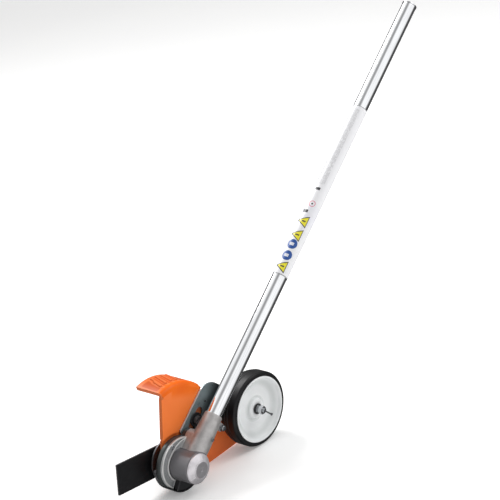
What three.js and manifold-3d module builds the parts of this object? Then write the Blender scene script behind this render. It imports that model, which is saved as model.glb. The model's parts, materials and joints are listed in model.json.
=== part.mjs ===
// Lawn edger attachment: a straight drive tube that carries a bevel gearbox, a spinning
// edger blade under a moulded guard, and a depth wheel on a sliding carrier plate.
// Millimetres. +X is the way it travels, +Y is the gearbox cap's side, +Z is up.
// The assembly stands on its wheel and on the skid shoe under the gearbox.
import * as THREE from 'three';
import { mergeVertices } from 'three/addons/utils/BufferGeometryUtils.js';
import Module from 'manifold-3d';

const wasm = await Module();
wasm.setup();

const rad = THREE.MathUtils.degToRad;
const GAP = 0.3; // clearance kept between pieces that touch

// ---- driving dimensions ----
const HUB_HEIGHT = 44.5; // blade shaft above the ground
const TUBE_LEAN = 52; // degrees from vertical, towards the operator
const TUBE_R = 12.7;
const TUBE_WALL = 1.6;
const TUBE_START = 44; // stations are measured from the hub along the tube
const TUBE_END = 892;
const LABEL_START = 343.5;
const LABEL_END = 674.5;
const LABEL_WRAP = 160; // degrees of the tube that the label covers
const LABEL_MIDDLE = 70; // degrees from the tube's front towards the gearbox cap's side
const LABEL_THICKNESS = 0.2;
const BUSH_FIRST = 150;
const BUSH_PITCH = 220;
const BUSH_LENGTH = 24;
const BUSH_COUNT = 4;

const HOUSING_R = 25.5;
const HOUSING_BACK = -30;
const HOUSING_FRONT = 18;
const BASE_R = 43.5;
const BASE_FACE_R = 41;
const BASE_FACE = -20;
const BOSS_R = 27;
const BOSS_BACK = -34.2;
const CAVITY_R = 19.5;
const NECK_END = 90;
const NECK_END_R = 14.8;
const NECK_FOOT_R = 17.8;
const GUARD_SCREW_CIRCLE = 21;
const GUARD_SCREW_R = 2.5;
const RIVET_R = 2.2;
const PLUG_R = 2.5;
const PLUG_X = 10;
const PLUG_Z = 34;
const CLAMP_P = -22.5; // the clamp screw, behind the tube's axis
const CLAMP_S = 79;
const CLAMP_EAR_R = 6.5;
const CLAMP_EAR_Y = 7.5;
const CLAMP_SCREW_R = 2.6;
const CLAMP_HEAD_R = 4.6;
const LOCATING_P = -3;
const LOCATING_S = 51;
const LOCATING_R = 2;
const CAP_R = 24.4;
const CAP_FLAT_R = 13;
const CAP_END = 27.2;

const SHAFT_R = 5;
const SHAFT_END = -75;
const DRIVE_R = 4;
const BIG_BEARING = { inner: SHAFT_R, outer: 13, width: 8 };
const SMALL_BEARING = { inner: DRIVE_R, outer: 11, width: 7 };
const CAP_BEARING_Y = 13.9;
const OUTPUT_BEARING_Y = -27;
const INPUT_BEARING_S = 19;

const GEAR_TEETH = 18;
const PINION_TEETH = 11;
const GEAR_MODULE = 1.75;
const FACE_WIDTH = 6;

const BLADE_LENGTH = 203;
const BLADE_WIDTH = 51;
const BLADE_THICKNESS = 3;
const BLADE_NEAR_FACE = -55;
const BLADE_PITCH = 7.5; // degrees, front end raised
const FLANGE_R = 36;

const SHOE_R = 44.5; // the shoe's sole and its skirt under the base
const SHOE_FROM = -172;
const SHOE_TO = 8;
const SKIRT_FROM = -150;
const SKIRT_TO = -38;
const SKIRT_FRONT = -9.5;

const GUARD_NEAR_FACE = -34.5;
const GUARD_WALL = 3.5;
const GUARD_FAR_EDGE = -88;
const ROOF_R = 88.3; // outer radius of the roof
const ROOF_X = -20; // centre of the roof's arc
const ROOF_Z = 35;
const ROOF_THICKNESS = 3;
const ROOF_FRONT_ANGLE = 76;
const ROOF_REAR_ANGLE = 150;
const GUARD_BOTTOM = -44;
const GUARD_NOSE_R = 34; // the wall's round end about the hub
const GUARD_NOSE_TOP = 56;
const GUARD_NOSE_BOTTOM = -107;
const PAD_RISE = 3; // the wall ahead of the carrier plate stands this much nearer
const PAD_EDGE = 22.5; // the pad's rear edge, ahead of the tube's axis
const PAD_ROUND_R = 46.5; // its lower edge, about the hub
const LIP_DEPTH = 6.5; // the stiffening lip along the roof's front edge

const PLATE_NEAR_FACE = -30.9;
const PLATE_THICKNESS = 2.3;
const PLATE_EDGE = 20; // the plate's front edge, ahead of the tube's axis
const PLATE_FOOT = 42;
const PLATE_CORNER_R = 32;
const PLATE_CORNER_S = 112;
const SLOT_HALF_WIDTH = 7.5;
const SLOT_START = 53;
const SLOT_END = 96;
const GUIDE_S = (SLOT_START + SLOT_END) / 2;
const GUIDE_BOLT_R = 3.9;

const WHEEL_X = -167.5;
const WHEEL_Z = 18.7;
const TYRE_R = 63;
const TYRE_EDGE_R = 57;
const RIM_R = 55.3;
const WHEEL_FRONT = 9; // the rim's lip
const WHEEL_BACK = -27;
const DISH_DEPTH = 13;
const AXLE_R = 4;
const AXLE_END = 19;
const PIN_LENGTH = 17;

// ---- finishes ----
const finish = (color, roughness, metalness) =>
  new THREE.MeshStandardMaterial({ color, roughness, metalness });
const ALUMINIUM = finish(0xc9cbce, 0.35, 1);
const LABEL = finish(0xf2f2f4, 0.45, 0);
const CAST = finish(0x77777a, 0.5, 0.35);
const CAP_CAST = finish(0x96929a, 0.5, 0.35);
const STEEL = finish(0x9a9c9f, 0.35, 1);
const ZINC = finish(0xb9bec2, 0.35, 1);
const PLATE_ZINC = finish(0x6d7f86, 0.4, 0.9);
const BLACK_STEEL = finish(0x121214, 0.55, 0.6);
const ORANGE = finish(0xf2701f, 0.4, 0);
const RUBBER = finish(0x0c0c0e, 0.7, 0);
const WHITE_PLASTIC = finish(0xe9ebed, 0.35, 0);
const BRONZE = finish(0xa0733c, 0.45, 1);

// ---- solids ----

// Turns a closed three.js geometry into a manifold solid with its faces pointing out.
function solid(geometry) {
  const bare = geometry.clone();
  bare.deleteAttribute('normal');
  bare.deleteAttribute('uv');
  const merged = mergeVertices(bare, 1e-4);
  const index = merged.index.array;
  const kept = [];
  for (let i = 0; i < index.length; i += 3) {
    const [a, b, c] = [index[i], index[i + 1], index[i + 2]];
    if (a !== b && b !== c && c !== a) kept.push(a, b, c);
  }
  const vertProperties = new Float32Array(merged.attributes.position.array);
  if (signedVolume(vertProperties, kept) < 0) kept.reverse();
  const triVerts = new Uint32Array(kept);
  return new wasm.Manifold(new wasm.Mesh({ numProp: 3, vertProperties, triVerts }));
}

function signedVolume(vertices, triangles) {
  const corner = (i) => new THREE.Vector3().fromArray(vertices, 3 * i);
  let sum = 0;
  for (let i = 0; i < triangles.length; i += 3) {
    const [a, b, c] = [corner(triangles[i]), corner(triangles[i + 1]), corner(triangles[i + 2])];
    sum += a.dot(b.cross(c));
  }
  return sum / 6;
}

function mesh(name, body, material) {
  const { vertProperties, triVerts } = body.getMesh();
  const geometry = new THREE.BufferGeometry();
  geometry.setAttribute('position', new THREE.BufferAttribute(vertProperties, 3));
  geometry.setIndex(new THREE.BufferAttribute(triVerts, 1));
  geometry.computeVertexNormals();
  const result = new THREE.Mesh(geometry, material);
  result.name = name;
  return result;
}

// Turns a profile of [radius, height] points about the local Y axis. A profile that
// leaves the axis is closed on itself.
function turned(profile, segments = 24) {
  const points = profile.map(([r, y]) => new THREE.Vector2(r, y));
  if (profile[0][0] > 0) points.push(points[0].clone());
  return solid(new THREE.LatheGeometry(points, segments));
}

function ring(inner, outer, low, high, segments = 18) {
  return turned([[inner, low], [outer, low], [outer, high], [inner, high]], segments);
}

function rod(radius, low, high, segments = 20, x = 0, z = 0) {
  const geometry = new THREE.CylinderGeometry(radius, radius, high - low, segments);
  geometry.translate(x, (low + high) / 2, z);
  return solid(geometry);
}

// A cylinder along the local Z axis, for holes and bolts across the tube's own frame.
function crossRod(radius, low, high, x, y, segments = 20) {
  const geometry = new THREE.CylinderGeometry(radius, radius, high - low, segments);
  geometry.rotateX(Math.PI / 2);
  geometry.translate(x, y, (low + high) / 2);
  return solid(geometry);
}

function hexagon(acrossFlats, low, high, bore = 0) {
  const corner = acrossFlats / Math.sqrt(3);
  const body = rod(corner, low, high, 6);
  return bore > 0 ? body.subtract(rod(bore, low - 1, high + 1, 16)) : body;
}

// An outline in X and Z, made thick along Y from low to high.
function slab(shape, low, high, curveSegments = 12) {
  const depth = high - low;
  const geometry = new THREE.ExtrudeGeometry(shape, { depth, bevelEnabled: false, curveSegments });
  geometry.rotateX(Math.PI / 2);
  geometry.translate(0, high, 0);
  return solid(geometry);
}

// An outline in the tube's own frame, X ahead of the axis and Y along it.
function tubeSlab(shape, low, high, curveSegments = 12) {
  const depth = high - low;
  const geometry = new THREE.ExtrudeGeometry(shape, { depth, bevelEnabled: false, curveSegments });
  geometry.translate(0, 0, low);
  return solid(geometry);
}

function box(width, height, depth, x, y, z) {
  const geometry = new THREE.BoxGeometry(width, height, depth);
  geometry.translate(x, y, z);
  return solid(geometry);
}

function joined(bodies) {
  return bodies.reduce((whole, body) => whole.add(body));
}

// The tube's frame: local Y runs up the tube, local X points ahead of it and local Z
// points away from the gearbox cap.
const lean = rad(TUBE_LEAN);
const tubeMatrix = new THREE.Matrix4().makeBasis(
  new THREE.Vector3(Math.cos(lean), 0, Math.sin(lean)),
  new THREE.Vector3(-Math.sin(lean), 0, Math.cos(lean)),
  new THREE.Vector3(0, -1, 0),
);

// The same solid, given in the tube's frame and wanted in the hub's.
function fromTubeFrame(body) {
  const { vertProperties, triVerts } = body.getMesh();
  const geometry = new THREE.BufferGeometry();
  geometry.setAttribute('position', new THREE.BufferAttribute(vertProperties.slice(), 3));
  geometry.setIndex(new THREE.BufferAttribute(triVerts, 1));
  geometry.applyMatrix4(tubeMatrix);
  return solid(geometry);
}

// ---- drive tube ----

function tubeParts() {
  const inside = TUBE_R - TUBE_WALL;
  const parts = [];
  parts.push(mesh('drive_tube', ring(inside, TUBE_R, TUBE_START, TUBE_END, 32), ALUMINIUM));
  parts.push(tubeLabel());
  parts.push(tubeEndRing(inside));
  for (let i = 0; i < BUSH_COUNT; i += 1) {
    const at = BUSH_FIRST + i * BUSH_PITCH;
    const body = ring(DRIVE_R + GAP, inside - GAP, at, at + BUSH_LENGTH, 20);
    parts.push(mesh(`shaft_bush_${i + 1}`, body, RUBBER));
  }
  return parts;
}

// A printed sleeve that wraps the side of the tube facing the operator's right hand.
function tubeLabel() {
  const inner = TUBE_R + GAP;
  const outer = inner + LABEL_THICKNESS;
  const half = rad(LABEL_WRAP / 2);
  const shape = new THREE.Shape();
  shape.absarc(0, 0, outer, -half, half, false);
  shape.absarc(0, 0, inner, half, -half, true);
  const depth = LABEL_END - LABEL_START;
  const geometry = new THREE.ExtrudeGeometry(shape, { depth, bevelEnabled: false, curveSegments: 14 });
  geometry.rotateX(-Math.PI / 2);
  geometry.rotateY(rad(LABEL_MIDDLE));
  geometry.translate(0, LABEL_START, 0);
  return mesh('tube_label', solid(geometry), LABEL);
}

function tubeEndRing(inside) {
  const plug = inside - GAP;
  const bore = 6.8;
  const face = TUBE_END + 2.3;
  const profile = [
    [bore, TUBE_END - 14],
    [plug, TUBE_END - 14],
    [plug, TUBE_END + GAP],
    [TUBE_R + 0.7, TUBE_END + GAP],
    [TUBE_R + 0.7, face],
    [bore, face],
  ];
  const notch = box(5, 4, 5, -TUBE_R, face, 0);
  return mesh('tube_end_ring', turned(profile, 32).subtract(notch), ALUMINIUM);
}

// ---- bevel gears ----

// One bevel gear about the local Y axis, with its apex at the origin. The outline of
// the large end shrinks towards the apex over the face width.
function bevelGear(teeth, matingTeeth, phase, backLength, bore) {
  const pitchR = (teeth * GEAR_MODULE) / 2;
  const pitchHeight = (matingTeeth * GEAR_MODULE) / 2;
  const cone = Math.hypot(pitchR, pitchHeight);
  const shrink = (cone - FACE_WIDTH) / cone;
  const tip = pitchR + 0.62 * GEAR_MODULE * (pitchHeight / cone);
  const root = pitchR - GEAR_MODULE * (pitchHeight / cone);
  const tipHeight = pitchHeight - 0.62 * GEAR_MODULE * (pitchR / cone);
  const rootHeight = pitchHeight + GEAR_MODULE * (pitchR / cone);
  const step = (2 * Math.PI) / teeth;
  const outline = [];
  for (let i = 0; i < teeth; i += 1) {
    const middle = phase + i * step;
    outline.push([root, rootHeight, middle - 0.34 * step]);
    outline.push([tip, tipHeight, middle - 0.09 * step]);
    outline.push([tip, tipHeight, middle + 0.09 * step]);
    outline.push([root, rootHeight, middle + 0.34 * step]);
  }
  const back = pitchHeight + backLength;
  const point = (r, h, a) => [r * Math.cos(a), h, r * Math.sin(a)];
  const layer = (scale) => outline.map(([r, h, a]) => point(r * scale, h * scale, a));
  const hub = outline.map(([, , a]) => point(root, back, a));
  const body = lofted([layer(shrink), layer(1), hub]);
  return body.subtract(rod(bore, 0, back + 1, 20));
}

// Joins outlines of equal length into one closed skin, with a fan over each end.
function lofted(layers) {
  const count = layers[0].length;
  const vertices = layers.flat(2);
  const triangles = [];
  for (let k = 0; k + 1 < layers.length; k += 1) {
    for (let i = 0; i < count; i += 1) {
      const a = k * count + i;
      const b = k * count + ((i + 1) % count);
      triangles.push(a, b, b + count, a, b + count, a + count);
    }
  }
  const ends = [0, layers.length - 1];
  for (const k of ends) {
    const centre = vertices.length / 3;
    const mean = [0, 1, 2].map((axis) => layers[k].reduce((sum, point) => sum + point[axis], 0) / count);
    vertices.push(...mean);
    for (let i = 0; i < count; i += 1) {
      const a = k * count + i;
      const b = k * count + ((i + 1) % count);
      if (k === 0) triangles.push(centre, b, a);
      else triangles.push(centre, a, b);
    }
  }
  const geometry = new THREE.BufferGeometry();
  geometry.setAttribute('position', new THREE.BufferAttribute(new Float32Array(vertices), 3));
  geometry.setIndex(triangles);
  return solid(geometry);
}

// ---- bearings ----

// A ball bearing about the local Y axis: outer ring, inner ring, and the balls in a cage.
function bearing(name, size, low) {
  const high = low + size.width;
  const middle = (low + high) / 2;
  const innerEdge = size.inner + 2.4;
  const outerEdge = size.outer - 2.2;
  const track = (innerEdge + outerEdge) / 2;
  const ballR = (outerEdge - innerEdge) / 2 - GAP;
  const count = 7;
  const cage = [ring(track - 0.5, track + 0.5, middle - 0.9, middle + 0.9, 14)];
  for (let i = 0; i < count; i += 1) {
    const angle = (i / count) * 2 * Math.PI;
    const ball = new THREE.OctahedronGeometry(ballR, 1);
    ball.translate(track * Math.cos(angle), middle, track * Math.sin(angle));
    cage.push(solid(ball));
  }
  return {
    outer: mesh(`${name}_outer_race`, ring(outerEdge, size.outer, low, high, 20), STEEL),
    inner: mesh(`${name}_inner_race`, ring(size.inner + GAP, innerEdge, low, high, 20), STEEL),
    cage: mesh(`${name}_balls`, joined(cage), STEEL),
  };
}

// ---- gearbox ----

function gearboxHousing() {
  const barrel = rod(HOUSING_R, HOUSING_BACK + 2, HOUSING_FRONT, 36);
  const base = turned([
    [0, HOUSING_BACK],
    [BASE_R, HOUSING_BACK],
    [BASE_R, HOUSING_BACK + 5],
    [BASE_FACE_R, BASE_FACE],
    [0, BASE_FACE],
  ], 40);
  const boss = rod(BOSS_R, BOSS_BACK, HOUSING_BACK + 1, 28);
  const outside = joined([barrel, base, boss, fromTubeFrame(neck()), skidFoot()]);
  const hollows = [
    rod(CAVITY_R, -13, HOUSING_FRONT + 1, 28),
    rod(SHAFT_R + 1, BOSS_BACK - 1, 0, 20),
    rod(BIG_BEARING.outer + GAP, BOSS_BACK - 1, OUTPUT_BEARING_Y + BIG_BEARING.width + GAP, 24),
    rod(PLUG_R + GAP, BASE_FACE - 7, BASE_FACE + 1, 12, PLUG_X, PLUG_Z),
    fromTubeFrame(neckHollow()),
    ...guardScrewPlaces().map(([x, z]) => rod(GUARD_SCREW_R + GAP, BOSS_BACK - 1, -24, 12, x, z)),
    ...shoeRivetPlaces().map(([x, z]) => rod(RIVET_R + GAP, HOUSING_BACK - 1, -25, 12, x, z)),
  ];
  return mesh('gearbox_housing', outside.subtract(joined(hollows)), CAST);
}

// The neck that holds the tube, its web down to the base, and the clamp ears.
function neck() {
  const cone = turned([
    [0, 8],
    [NECK_FOOT_R, 8],
    [NECK_FOOT_R, 46],
    [NECK_END_R, NECK_END],
    [0, NECK_END],
  ], 32);
  const webNear = 6;
  const webDepth = -HOUSING_BACK - webNear;
  const web = box(34, 42, webDepth, 0, 31, webNear + webDepth / 2);
  const ears = joined([
    crossRod(CLAMP_EAR_R, -CLAMP_EAR_Y, CLAMP_EAR_Y, CLAMP_P, CLAMP_S, 18),
    box(12, 2 * CLAMP_EAR_R, 2 * CLAMP_EAR_Y, CLAMP_P + 6, CLAMP_S, 0),
  ]);
  return joined([cone, web, ears]);
}

// What is cut out of the neck: the tube's seat, the bearing's seat, the pinion's room,
// the clamp slit and the screw holes.
function neckHollow() {
  const slit = box(40, 34, 2, -20, 80, 0);
  return joined([
    rod(TUBE_R + GAP, TUBE_START - GAP, NECK_END + 1, 32),
    rod(SMALL_BEARING.outer + GAP, 0, INPUT_BEARING_S + 10, 24),
    rod(SMALL_BEARING.outer - 2, 0, TUBE_START + 1, 24),
    slit,
    crossRod(CLAMP_SCREW_R + GAP, -20, 20, CLAMP_P, CLAMP_S, 14),
    crossRod(LOCATING_R + GAP, -24, -8, LOCATING_P, LOCATING_S, 12),
  ]);
}

// A thick pad under the base, which stiffens it where it slides over the ground.
function skidFoot() {
  const pad = ring(HOUSING_R - 4, BASE_R - 1, HOUSING_BACK + 1, -10, 36);
  return pad.intersect(box(66, 60, 50, -4, -10, -48));
}

function gearboxCap() {
  const seat = BIG_BEARING.outer + GAP;
  const bearingEnd = CAP_BEARING_Y + BIG_BEARING.width + GAP;
  return mesh('gearbox_cap', turned([
    [0, bearingEnd],
    [seat, bearingEnd],
    [seat, CAP_BEARING_Y],
    [CAVITY_R - GAP, CAP_BEARING_Y],
    [CAVITY_R - GAP, HOUSING_FRONT + GAP],
    [CAP_R, HOUSING_FRONT + GAP],
    [CAP_R, HOUSING_FRONT + 2.5],
    [CAP_FLAT_R, CAP_END],
    [0, CAP_END],
  ], 36), CAP_CAST);
}

function sealAndPlug() {
  const sealBack = OUTPUT_BEARING_Y - 6.6;
  const seal = ring(SHAFT_R + GAP, BIG_BEARING.outer, sealBack, OUTPUT_BEARING_Y - GAP);
  const plugHead = rod(PLUG_R + 1, BASE_FACE + GAP, BASE_FACE + 2.2, 16, PLUG_X, PLUG_Z);
  const plug = plugHead.add(rod(PLUG_R, BASE_FACE - 6, BASE_FACE + 1, 12, PLUG_X, PLUG_Z));
  const socket = rod(1.4, BASE_FACE + 0.8, BASE_FACE + 3, 6, PLUG_X, PLUG_Z);
  return [
    mesh('oil_seal', seal, RUBBER),
    mesh('grease_plug', plug.subtract(socket), STEEL),
  ];
}

// The pieces that lock the tube and the drive bearing in the neck, in the tube's frame.
function neckFasteners() {
  const head = CLAMP_EAR_Y + GAP;
  const screw = crossRod(CLAMP_SCREW_R, -head - 6, head + 4, CLAMP_P, CLAMP_S, 16);
  const screwHead = crossRod(CLAMP_HEAD_R, -head - 5, -head, CLAMP_P, CLAMP_S, 20);
  const socket = crossRod(2.2, -head - 8, -head - 2.5, CLAMP_P, CLAMP_S, 6);
  const nut = crossRod(4.9, head, head + 4.5, CLAMP_P, CLAMP_S, 6);
  const nutBore = crossRod(CLAMP_SCREW_R + GAP, 0, head + 9, CLAMP_P, CLAMP_S, 16);
  const pin = crossRod(LOCATING_R, -17.9, -13, LOCATING_P, LOCATING_S, 12);
  const pinHead = crossRod(LOCATING_R + 1.2, -19, -17.8, LOCATING_P, LOCATING_S, 14);
  const circlipStart = INPUT_BEARING_S + SMALL_BEARING.width + GAP;
  const circlip = ring(SMALL_BEARING.outer - 2.2, SMALL_BEARING.outer, circlipStart, circlipStart + 1.2);
  return [
    mesh('clamp_screw', screw.add(screwHead).subtract(socket), ZINC),
    mesh('clamp_nut', nut.subtract(nutBore), ZINC),
    mesh('locating_screw', pin.add(pinHead), ZINC),
    mesh('input_circlip', circlip, STEEL),
  ];
}

// ---- guard ----

function guardScrewPlaces() {
  return [80, 200, 320].map((angle) => polar(GUARD_SCREW_CIRCLE, angle));
}

function shoeRivetPlaces() {
  return [-140, -40].map((angle) => polar(36, angle));
}

function polar(radius, angle) {
  return [radius * Math.cos(rad(angle)), radius * Math.sin(rad(angle))];
}

// The line of the roof's skin, inset from its outer face, from its front to its foot.
function roofLine(inset) {
  const radius = ROOF_R - inset;
  const [endX, endZ] = polar(radius, ROOF_REAR_ANGLE);
  const slope = rad(ROOF_REAR_ANGLE + 90);
  const run = (GUARD_BOTTOM - ROOF_Z - endZ) / Math.sin(slope);
  const foot = [ROOF_X + endX + run * Math.cos(slope), GUARD_BOTTOM];
  return { radius, foot };
}

function guardWallShape() {
  const { radius, foot } = roofLine(0);
  const shape = new THREE.Shape();
  const nose = [rad(GUARD_NOSE_BOTTOM), rad(GUARD_NOSE_TOP)];
  shape.absarc(0, 0, GUARD_NOSE_R, nose[0], nose[1], false);
  shape.absarc(ROOF_X, ROOF_Z, radius, rad(ROOF_FRONT_ANGLE), rad(ROOF_REAR_ANGLE), false);
  shape.lineTo(foot[0], foot[1]);
  shape.lineTo(-50, GUARD_BOTTOM);
  return shape;
}

function guardRoofShape() {
  const outer = roofLine(0);
  const inner = roofLine(ROOF_THICKNESS);
  const shape = new THREE.Shape();
  const [front, rear] = [rad(ROOF_FRONT_ANGLE), rad(ROOF_REAR_ANGLE)];
  shape.absarc(ROOF_X, ROOF_Z, outer.radius, front, rear, false);
  shape.lineTo(outer.foot[0], outer.foot[1]);
  shape.lineTo(inner.foot[0], inner.foot[1]);
  shape.absarc(ROOF_X, ROOF_Z, inner.radius, rear, front, true);
  return shape;
}

// The raised front of the wall, bounded by the carrier plate and the gearbox base.
function guardPadShape() {
  const ahead = rad(TUBE_LEAN); // the direction that points ahead of the tube
  const lowEnd = ahead + Math.acos(PAD_EDGE / PAD_ROUND_R);
  const [middleP, middleS] = toTubeFrame(ROOF_X, ROOF_Z);
  const topS = middleS + Math.sqrt(ROOF_R ** 2 - (PAD_EDGE - middleP) ** 2);
  const topEnd = ahead + Math.atan2(topS - middleS, PAD_EDGE - middleP);
  const shape = new THREE.Shape();
  shape.absarc(0, 0, PAD_ROUND_R, lowEnd, rad(GUARD_NOSE_TOP), true);
  shape.absarc(ROOF_X, ROOF_Z, ROOF_R, rad(ROOF_FRONT_ANGLE), topEnd, false);
  return shape;
}

// The lip that turns down from the roof's front edge.
function roofLipShape() {
  const span = 2;
  const shape = new THREE.Shape();
  const [front, back] = [rad(ROOF_FRONT_ANGLE), rad(ROOF_FRONT_ANGLE + span)];
  shape.absarc(ROOF_X, ROOF_Z, ROOF_R, front, back, false);
  shape.absarc(ROOF_X, ROOF_Z, ROOF_R - LIP_DEPTH, back, front, true);
  return shape;
}

function guardParts() {
  const far = GUARD_NEAR_FACE - GUARD_WALL;
  const wall = slab(guardWallShape(), far, GUARD_NEAR_FACE, 14);
  const roof = slab(guardRoofShape(), GUARD_FAR_EDGE, GUARD_NEAR_FACE, 14);
  const pad = slab(guardPadShape(), GUARD_NEAR_FACE - 1, GUARD_NEAR_FACE + PAD_RISE, 14);
  const lip = slab(roofLipShape(), GUARD_FAR_EDGE, GUARD_NEAR_FACE + PAD_RISE, 1);
  const [guideX, guideZ] = polar(GUIDE_S, 90 + TUBE_LEAN);
  const holes = [
    rod(14, far - 1, GUARD_NEAR_FACE + 1, 24),
    rod(GUIDE_BOLT_R + GAP, far - 1, GUARD_NEAR_FACE + 1, 14, guideX, guideZ),
    ...guardScrewPlaces().map(([x, z]) => rod(GUARD_SCREW_R + GAP, far - 1, GUARD_NEAR_FACE + 1, 12, x, z)),
  ];
  const shell = joined([wall, roof, pad, lip]).subtract(joined(holes));
  const parts = [mesh('guard', shell, ORANGE)];
  guardScrewPlaces().forEach(([x, z], i) => {
    const shank = rod(GUARD_SCREW_R, far - 1, -25, 12, x, z);
    const head = rod(GUARD_SCREW_R + 2, far - GAP - 3, far - GAP, 16, x, z);
    const socket = rod(1.7, far - 5, far - 1.8, 6, x, z);
    parts.push(mesh(`guard_screw_${i + 1}`, shank.add(head).subtract(socket), ZINC));
  });
  return parts;
}

// The steel shoe under the gearbox that the machine rests and slides on.
function ringPart(inner, outer, from, to) {
  const shape = new THREE.Shape();
  shape.absarc(0, 0, outer, rad(from), rad(to), false);
  shape.absarc(0, 0, inner, rad(to), rad(from), true);
  return shape;
}

function skidShoe() {
  const low = BOSS_BACK + 0.2;
  const high = HOUSING_BACK - GAP;
  const sole = slab(ringPart(BOSS_R + GAP, SHOE_R, SHOE_FROM, SHOE_TO), low, high, 18);
  const skirt = slab(ringPart(BASE_R + GAP, SHOE_R, SKIRT_FROM, SKIRT_TO), low, SKIRT_FRONT, 18);
  const holes = shoeRivetPlaces().map(([x, z]) => rod(RIVET_R + GAP, low - 1, high + 1, 12, x, z));
  const parts = [mesh('skid_shoe', joined([sole, skirt]).subtract(joined(holes)), BLACK_STEEL)];
  shoeRivetPlaces().forEach(([x, z], i) => {
    parts.push(mesh(`shoe_rivet_${i + 1}`, rod(RIVET_R, low, -26, 12, x, z), STEEL));
  });
  return parts;
}

// ---- depth wheel carrier ----

function carrierShape() {
  const corner = PLATE_EDGE - PLATE_CORNER_R;
  const [axleP, axleS] = toTubeFrame(WHEEL_X, WHEEL_Z);
  const bossR = 14;
  const rise = Math.atan2(axleS + bossR - PLATE_CORNER_S - PLATE_CORNER_R, corner - axleP);
  const shape = new THREE.Shape();
  shape.moveTo(-PLATE_EDGE, PLATE_FOOT);
  shape.lineTo(PLATE_EDGE - 5, PLATE_FOOT);
  shape.absarc(PLATE_EDGE - 5, PLATE_FOOT + 5, 5, rad(-90), 0, false);
  shape.absarc(corner, PLATE_CORNER_S, PLATE_CORNER_R, 0, rad(90) - rise, false);
  shape.absarc(axleP, axleS, bossR, rad(90) - rise, rad(228), false);
  shape.lineTo(-PLATE_EDGE - 8, 76);
  shape.holes.push(slotPath(), holePath(axleP, axleS, AXLE_R + GAP), holePath(-2, 108, 1.6));
  return shape;
}

function slotPath() {
  const path = new THREE.Path();
  const r = SLOT_HALF_WIDTH;
  path.absarc(0, SLOT_END - r, r, 0, Math.PI, false);
  path.absarc(0, SLOT_START + r, r, Math.PI, 2 * Math.PI, false);
  return path;
}

function holePath(x, y, radius) {
  const path = new THREE.Path();
  path.absarc(x, y, radius, 0, 2 * Math.PI, false);
  return path;
}

// A point of the hub's X and Z as distance ahead of the tube's axis and along it.
function toTubeFrame(x, z) {
  return [x * Math.cos(lean) + z * Math.sin(lean), z * Math.cos(lean) - x * Math.sin(lean)];
}

function carrierPlate() {
  const near = -PLATE_NEAR_FACE;
  return mesh('carrier_plate', tubeSlab(carrierShape(), near, near + PLATE_THICKNESS, 10), PLATE_ZINC);
}

// A round-ended key that fills the slot's width and a bit less than half its length.
function guideBlockShape() {
  const r = SLOT_HALF_WIDTH - 0.4;
  const halfRun = 10 - r;
  const shape = new THREE.Shape();
  shape.absarc(0, GUIDE_S + halfRun, r, 0, Math.PI, false);
  shape.absarc(0, GUIDE_S - halfRun, r, Math.PI, 2 * Math.PI, false);
  return shape;
}

// The fixed block, bolt, washer and nut that the carrier's slot slides on.
function guideParts() {
  const wallNear = -GUARD_NEAR_FACE;
  const wallFar = wallNear + GUARD_WALL;
  const blockNear = -PLATE_NEAR_FACE - GAP;
  const blockDepth = wallNear - GAP - blockNear;
  const block = tubeSlab(guideBlockShape(), blockNear, blockNear + blockDepth, 8);
  const bore = crossRod(GUIDE_BOLT_R + GAP, 0, 60, 0, GUIDE_S, 14);
  const washerNear = blockNear - GAP - 1.8;
  const headNear = washerNear - GAP - 5.3;
  const shank = crossRod(GUIDE_BOLT_R, headNear + 2, wallFar + 8.6, 0, GUIDE_S, 14);
  const head = crossRod(7.5, headNear, headNear + 5.3, 0, GUIDE_S, 6);
  const washer = crossRod(12, washerNear, washerNear + 1.8, 0, GUIDE_S, 24);
  const nut = crossRod(7.5, wallFar + GAP, wallFar + 6.8, 0, GUIDE_S, 6);
  return [
    mesh('guide_block', block.subtract(bore), STEEL),
    mesh('guide_bolt', shank.add(head), BLACK_STEEL),
    mesh('guide_washer', washer.subtract(bore), BLACK_STEEL),
    mesh('guide_nut', nut.subtract(bore), ZINC),
  ];
}

// The axle and what holds the wheel on it, about the wheel's own axis.
function axleParts() {
  const plateFar = PLATE_NEAR_FACE - PLATE_THICKNESS;
  const collarNear = WHEEL_BACK - 2.4;
  const bossEnd = WHEEL_FRONT - 7;
  const axle = joined([
    rod(AXLE_R, plateFar - 4.6, AXLE_END, 20),
    rod(8, PLATE_NEAR_FACE + GAP, collarNear, 20),
  ]);
  const washer = (low, thickness) => ring(AXLE_R + GAP, 9, low, low + thickness, 18);
  const pinDroop = 12;
  const pin = solid(retainingPinShape(rad(pinDroop)));
  return [
    mesh('wheel_axle', axle.subtract(rod(2, AXLE_END - 2.4, AXLE_END + 1, 12)), ZINC),
    mesh('axle_rear_nut', hexagon(13, plateFar - GAP - 4, plateFar - GAP, AXLE_R + GAP), ZINC),
    mesh('inner_washer', washer(collarNear + GAP, 1.4), ZINC),
    mesh('outer_washer', washer(bossEnd + GAP, 1.6), BLACK_STEEL),
    mesh('axle_nut', hexagon(13, bossEnd + 7.5, bossEnd + 13.5, AXLE_R + GAP), ZINC),
    mesh('nut_spacer', ring(AXLE_R + GAP, 6.2, bossEnd + 2.2, bossEnd + 7.2, 20), ZINC),
    mesh('retaining_pin', pin, STEEL),
  ];
}

// A thin pin that stands in the axle's end and droops a little, with a round knob.
function retainingPinShape(droop) {
  const knob = PIN_LENGTH - 1.6;
  const profile = [
    [0, 0],
    [1.3, 0],
    [1.3, knob - 1.4],
    [2.2, knob - 0.6],
    [2.2, knob + 0.8],
    [1.3, PIN_LENGTH],
    [0, PIN_LENGTH],
  ];
  const geometry = new THREE.LatheGeometry(profile.map(([r, y]) => new THREE.Vector2(r, y)), 14);
  geometry.rotateX(-droop);
  geometry.translate(0, AXLE_END - 1.6, 0);
  return geometry;
}

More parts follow.
